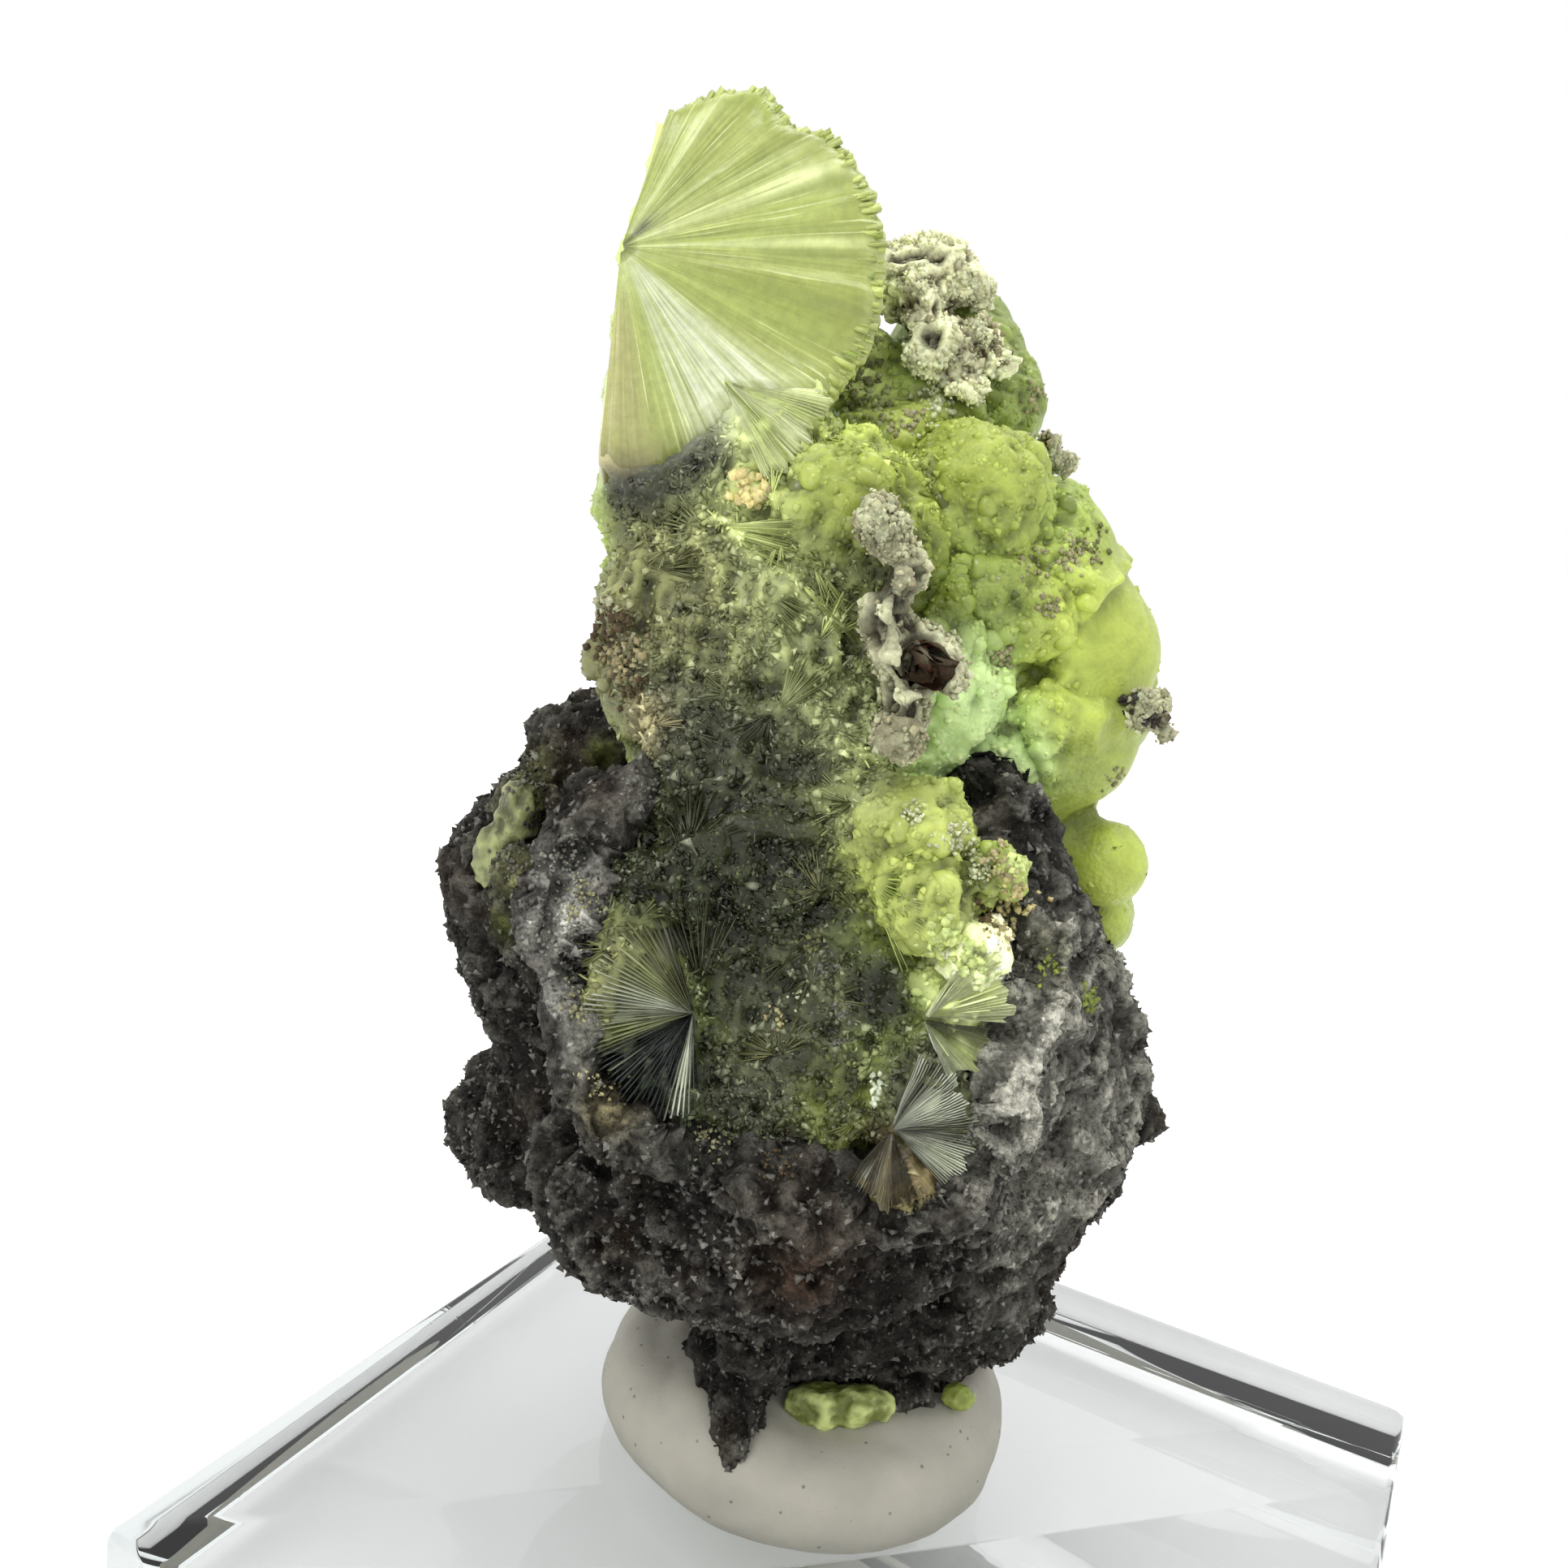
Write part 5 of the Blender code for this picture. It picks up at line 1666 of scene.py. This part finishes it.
def build_putty(rock):
    """The pressed putty: a swollen disc, pushed up a little round the rock's foot."""
    levels, turns, lip_reach = 72, 180, 1.2
    points, triangles = spun(smooth_outline(PUTTY_OUTLINE, levels), turns, PUTTY_DEPTH)
    points = points + PUTTY_MIDDLE
    shape = Shape(points, triangles, np.tile(PUTTY_GREY, (len(points), 1)))
    above = smooth_step(points[:, 2], 0.0, 0.5)
    lumpy = 0.16 * noise(points, 2.8, 301) + 0.06 * noise(points, 1.0, 302)
    lumpy += 0.012 * noise(points, 0.25, 303)
    lip = 0.35 * (1.0 - smooth_step(gap_to(points, rock, lip_reach), 0.1, lip_reach))
    shape.points = points + shape.normals() * (above * (lumpy + lip))[:, None]
    return shape


# The slab's eased edges, in mm
SLAB_BEVEL = 0.3
BEVEL_MIDDLE = 0.3 * SLAB_BEVEL


def slab_ring(reach, height):
    """Twelve points round the slab, three at each eased corner."""
    points = []
    for sx, sy in ((1, 1), (-1, 1), (-1, -1), (1, -1)):
        first = (sx * reach, sy * (reach - SLAB_BEVEL), height)
        middle = (sx * (reach - BEVEL_MIDDLE), sy * (reach - BEVEL_MIDDLE), height)
        last = (sx * (reach - SLAB_BEVEL), sy * reach, height)
        points += [first, middle, last] if sx * sy > 0 else [last, middle, first]
    return points


def build_slab():
    """The clear slab, with its edges eased."""
    low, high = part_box("acrylic_base")
    half = (high.x - low.x) / 2.0 / MM
    steps = ((0.0, SLAB_BEVEL), (BEVEL_MIDDLE, BEVEL_MIDDLE), (SLAB_BEVEL, 0.0))
    rings = [(SLAB_TOP - drop, inset) for drop, inset in steps]
    rings += [(drop, inset) for drop, inset in reversed(steps)]
    points = np.concatenate([slab_ring(half - inset, height) for height, inset in rings])
    around = len(points) // len(rings)
    index = np.arange(len(points)).reshape(-1, around)
    beside = np.roll(index, -1, axis=1)
    triangles = [quad_faces(index[:-1], index[1:], beside[1:], beside[:-1])]
    for step in range(1, around - 1):
        triangles.append([index[0, [0, step, step + 1]], index[-1, [0, step + 1, step]]])
    return Shape(to_face(points * MM), np.concatenate(triangles), np.ones_like(points))


# Scene


# Lights, each square: place and target in mm, side in mm, power in watts
LIGHTS = {
    "key": ((-70.0, -90.0, 150.0), (0.0, 0.0, 18.0), 70.0, 0.10),
    "top": ((30.0, 30.0, 160.0), (0.0, 0.0, 18.0), 90.0, 0.07),
}

# The floor: half its side, and how far it lies under the slab, in metres
FLOOR_HALF = 4.0
FLOOR_DROP = 0.3 * MM


def make_light(name, place, target, side, power):
    data = bpy.data.lights.new(name, "AREA")
    data.size = side * MM
    data.energy = power
    start = Vector(to_row(place).tolist())
    aim = Vector(to_row(target).tolist()) - start
    turned = aim.to_track_quat("-Z", "Y").to_matrix().to_4x4()
    add_to_scene(name, data).matrix_world = Matrix.Translation(start) @ turned


def make_floor():
    mesh = bpy.data.meshes.new("floor")
    sides = ((-1, -1), (1, -1), (1, 1), (-1, 1))
    corners = [(x * FLOOR_HALF, y * FLOOR_HALF, -FLOOR_DROP) for x, y in sides]
    mesh.from_pydata(corners, (), ((0, 1, 2, 3),))
    mesh.materials.append(floor_material())
    add_to_scene("floor", mesh)


def make_studio():
    world = bpy.data.worlds.new("studio")
    world.use_nodes = True
    world.node_tree.nodes["Background"].inputs["Color"].default_value = WHITE
    bpy.context.scene.world = world
    bpy.context.scene.view_settings.view_transform = "Standard"
    for name, values in LIGHTS.items():
        make_light(name, *values)
    make_floor()


def place_crystals(wavellite, silky, frosted):
    """The small fans, needles and crystals on the mass, made in this order."""
    tree = wavellite.tree()
    make_piece("fan_rim", build_fan_rim(), frosted, smooth=False)
    make_piece("spray_plates", build_spray_plates(tree), silky)
    make_piece("spray_fibres", build_spray_fibres(), frosted, smooth=False)
    make_piece("needle_bursts", build_bursts(tree), frosted, smooth=False)
    make_piece("needle_sheaves", build_sheaves(wavellite), frosted, smooth=False)
    make_piece("face_crystals", build_face_crystals(wavellite), frosted, smooth=False)
    knobs = build_botryoid_beads(wavellite)
    make_piece("botryoid_beads", knobs, frosted)
    make_piece("sugar_crystals", build_sugar(wavellite, knobs), frosted, smooth=False)
    return knobs


def place_crusts():
    """The crusts and their grains; gives back their skins and their material."""
    grainy = crust_material()
    crusts, hollow = build_crusts()
    for node, (skin, _) in crusts.items():
        make_piece(node + "_mass", skin, grainy, (node,))
    grains = build_crust_grains(crusts.values(), hollow)
    make_piece("crust_grains", grains, grainy, smooth=False)
    return [skin for skin, _ in crusts.values()], grainy


def main():
    make_camera()
    make_studio()
    waxy, silky, frosted = wavellite_material(), fibre_material(), crystal_material()
    stone = rock_material()
    rock = dense_skin("matrix_rock", ROCK_VOXEL, 3)
    wavellite, broken_face = build_wavellite()
    meet(rock, wavellite, MEET_REACH, MEET_OVERLAP)
    zones = spot_zones(rock.tree(), ROCK_PLACES)
    stain(rough_rock(rock), zones, ROCK_STAIN)
    make_piece("wavellite_mass", wavellite, waxy, ("wavellite",))
    make_piece("rock_mass", rock, stone, ("matrix_rock",))
    make_piece("fan_sheet", build_fan_sheet(broken_face), silky)
    knobs = place_crystals(wavellite, silky, frosted)
    make_piece("rock_grains", build_rock_grains(rock), stone, smooth=False)
    crusts, grainy = place_crusts()
    left = build_patch("wavellite_left_patch", 403, OLIVE_GREY * 0.6, PALE_OLIVE * 1.2)
    seen = join_shapes((wavellite, rock, *crusts, knobs, left)).tree()
    make_piece("grain_heaps", build_heaps(seen), grainy, smooth=False)
    foot = build_patch("wavellite_foot_patch", 401, OLIVE * 0.7, PALE_LIME)
    bead = build_patch("wavellite_foot_bead", 402, OLIVE, LIME)
    for name, patch in (("foot_patch", foot), ("foot_bead", bead), ("left_patch", left)):
        make_piece(name, patch, waxy, ("wavellite_" + name,))
    make_piece("putty", build_putty(rock), putty_material(), ("mounting_putty",))
    make_piece("slab", build_slab(), acrylic_material(), ("acrylic_base",), smooth=False)


main()
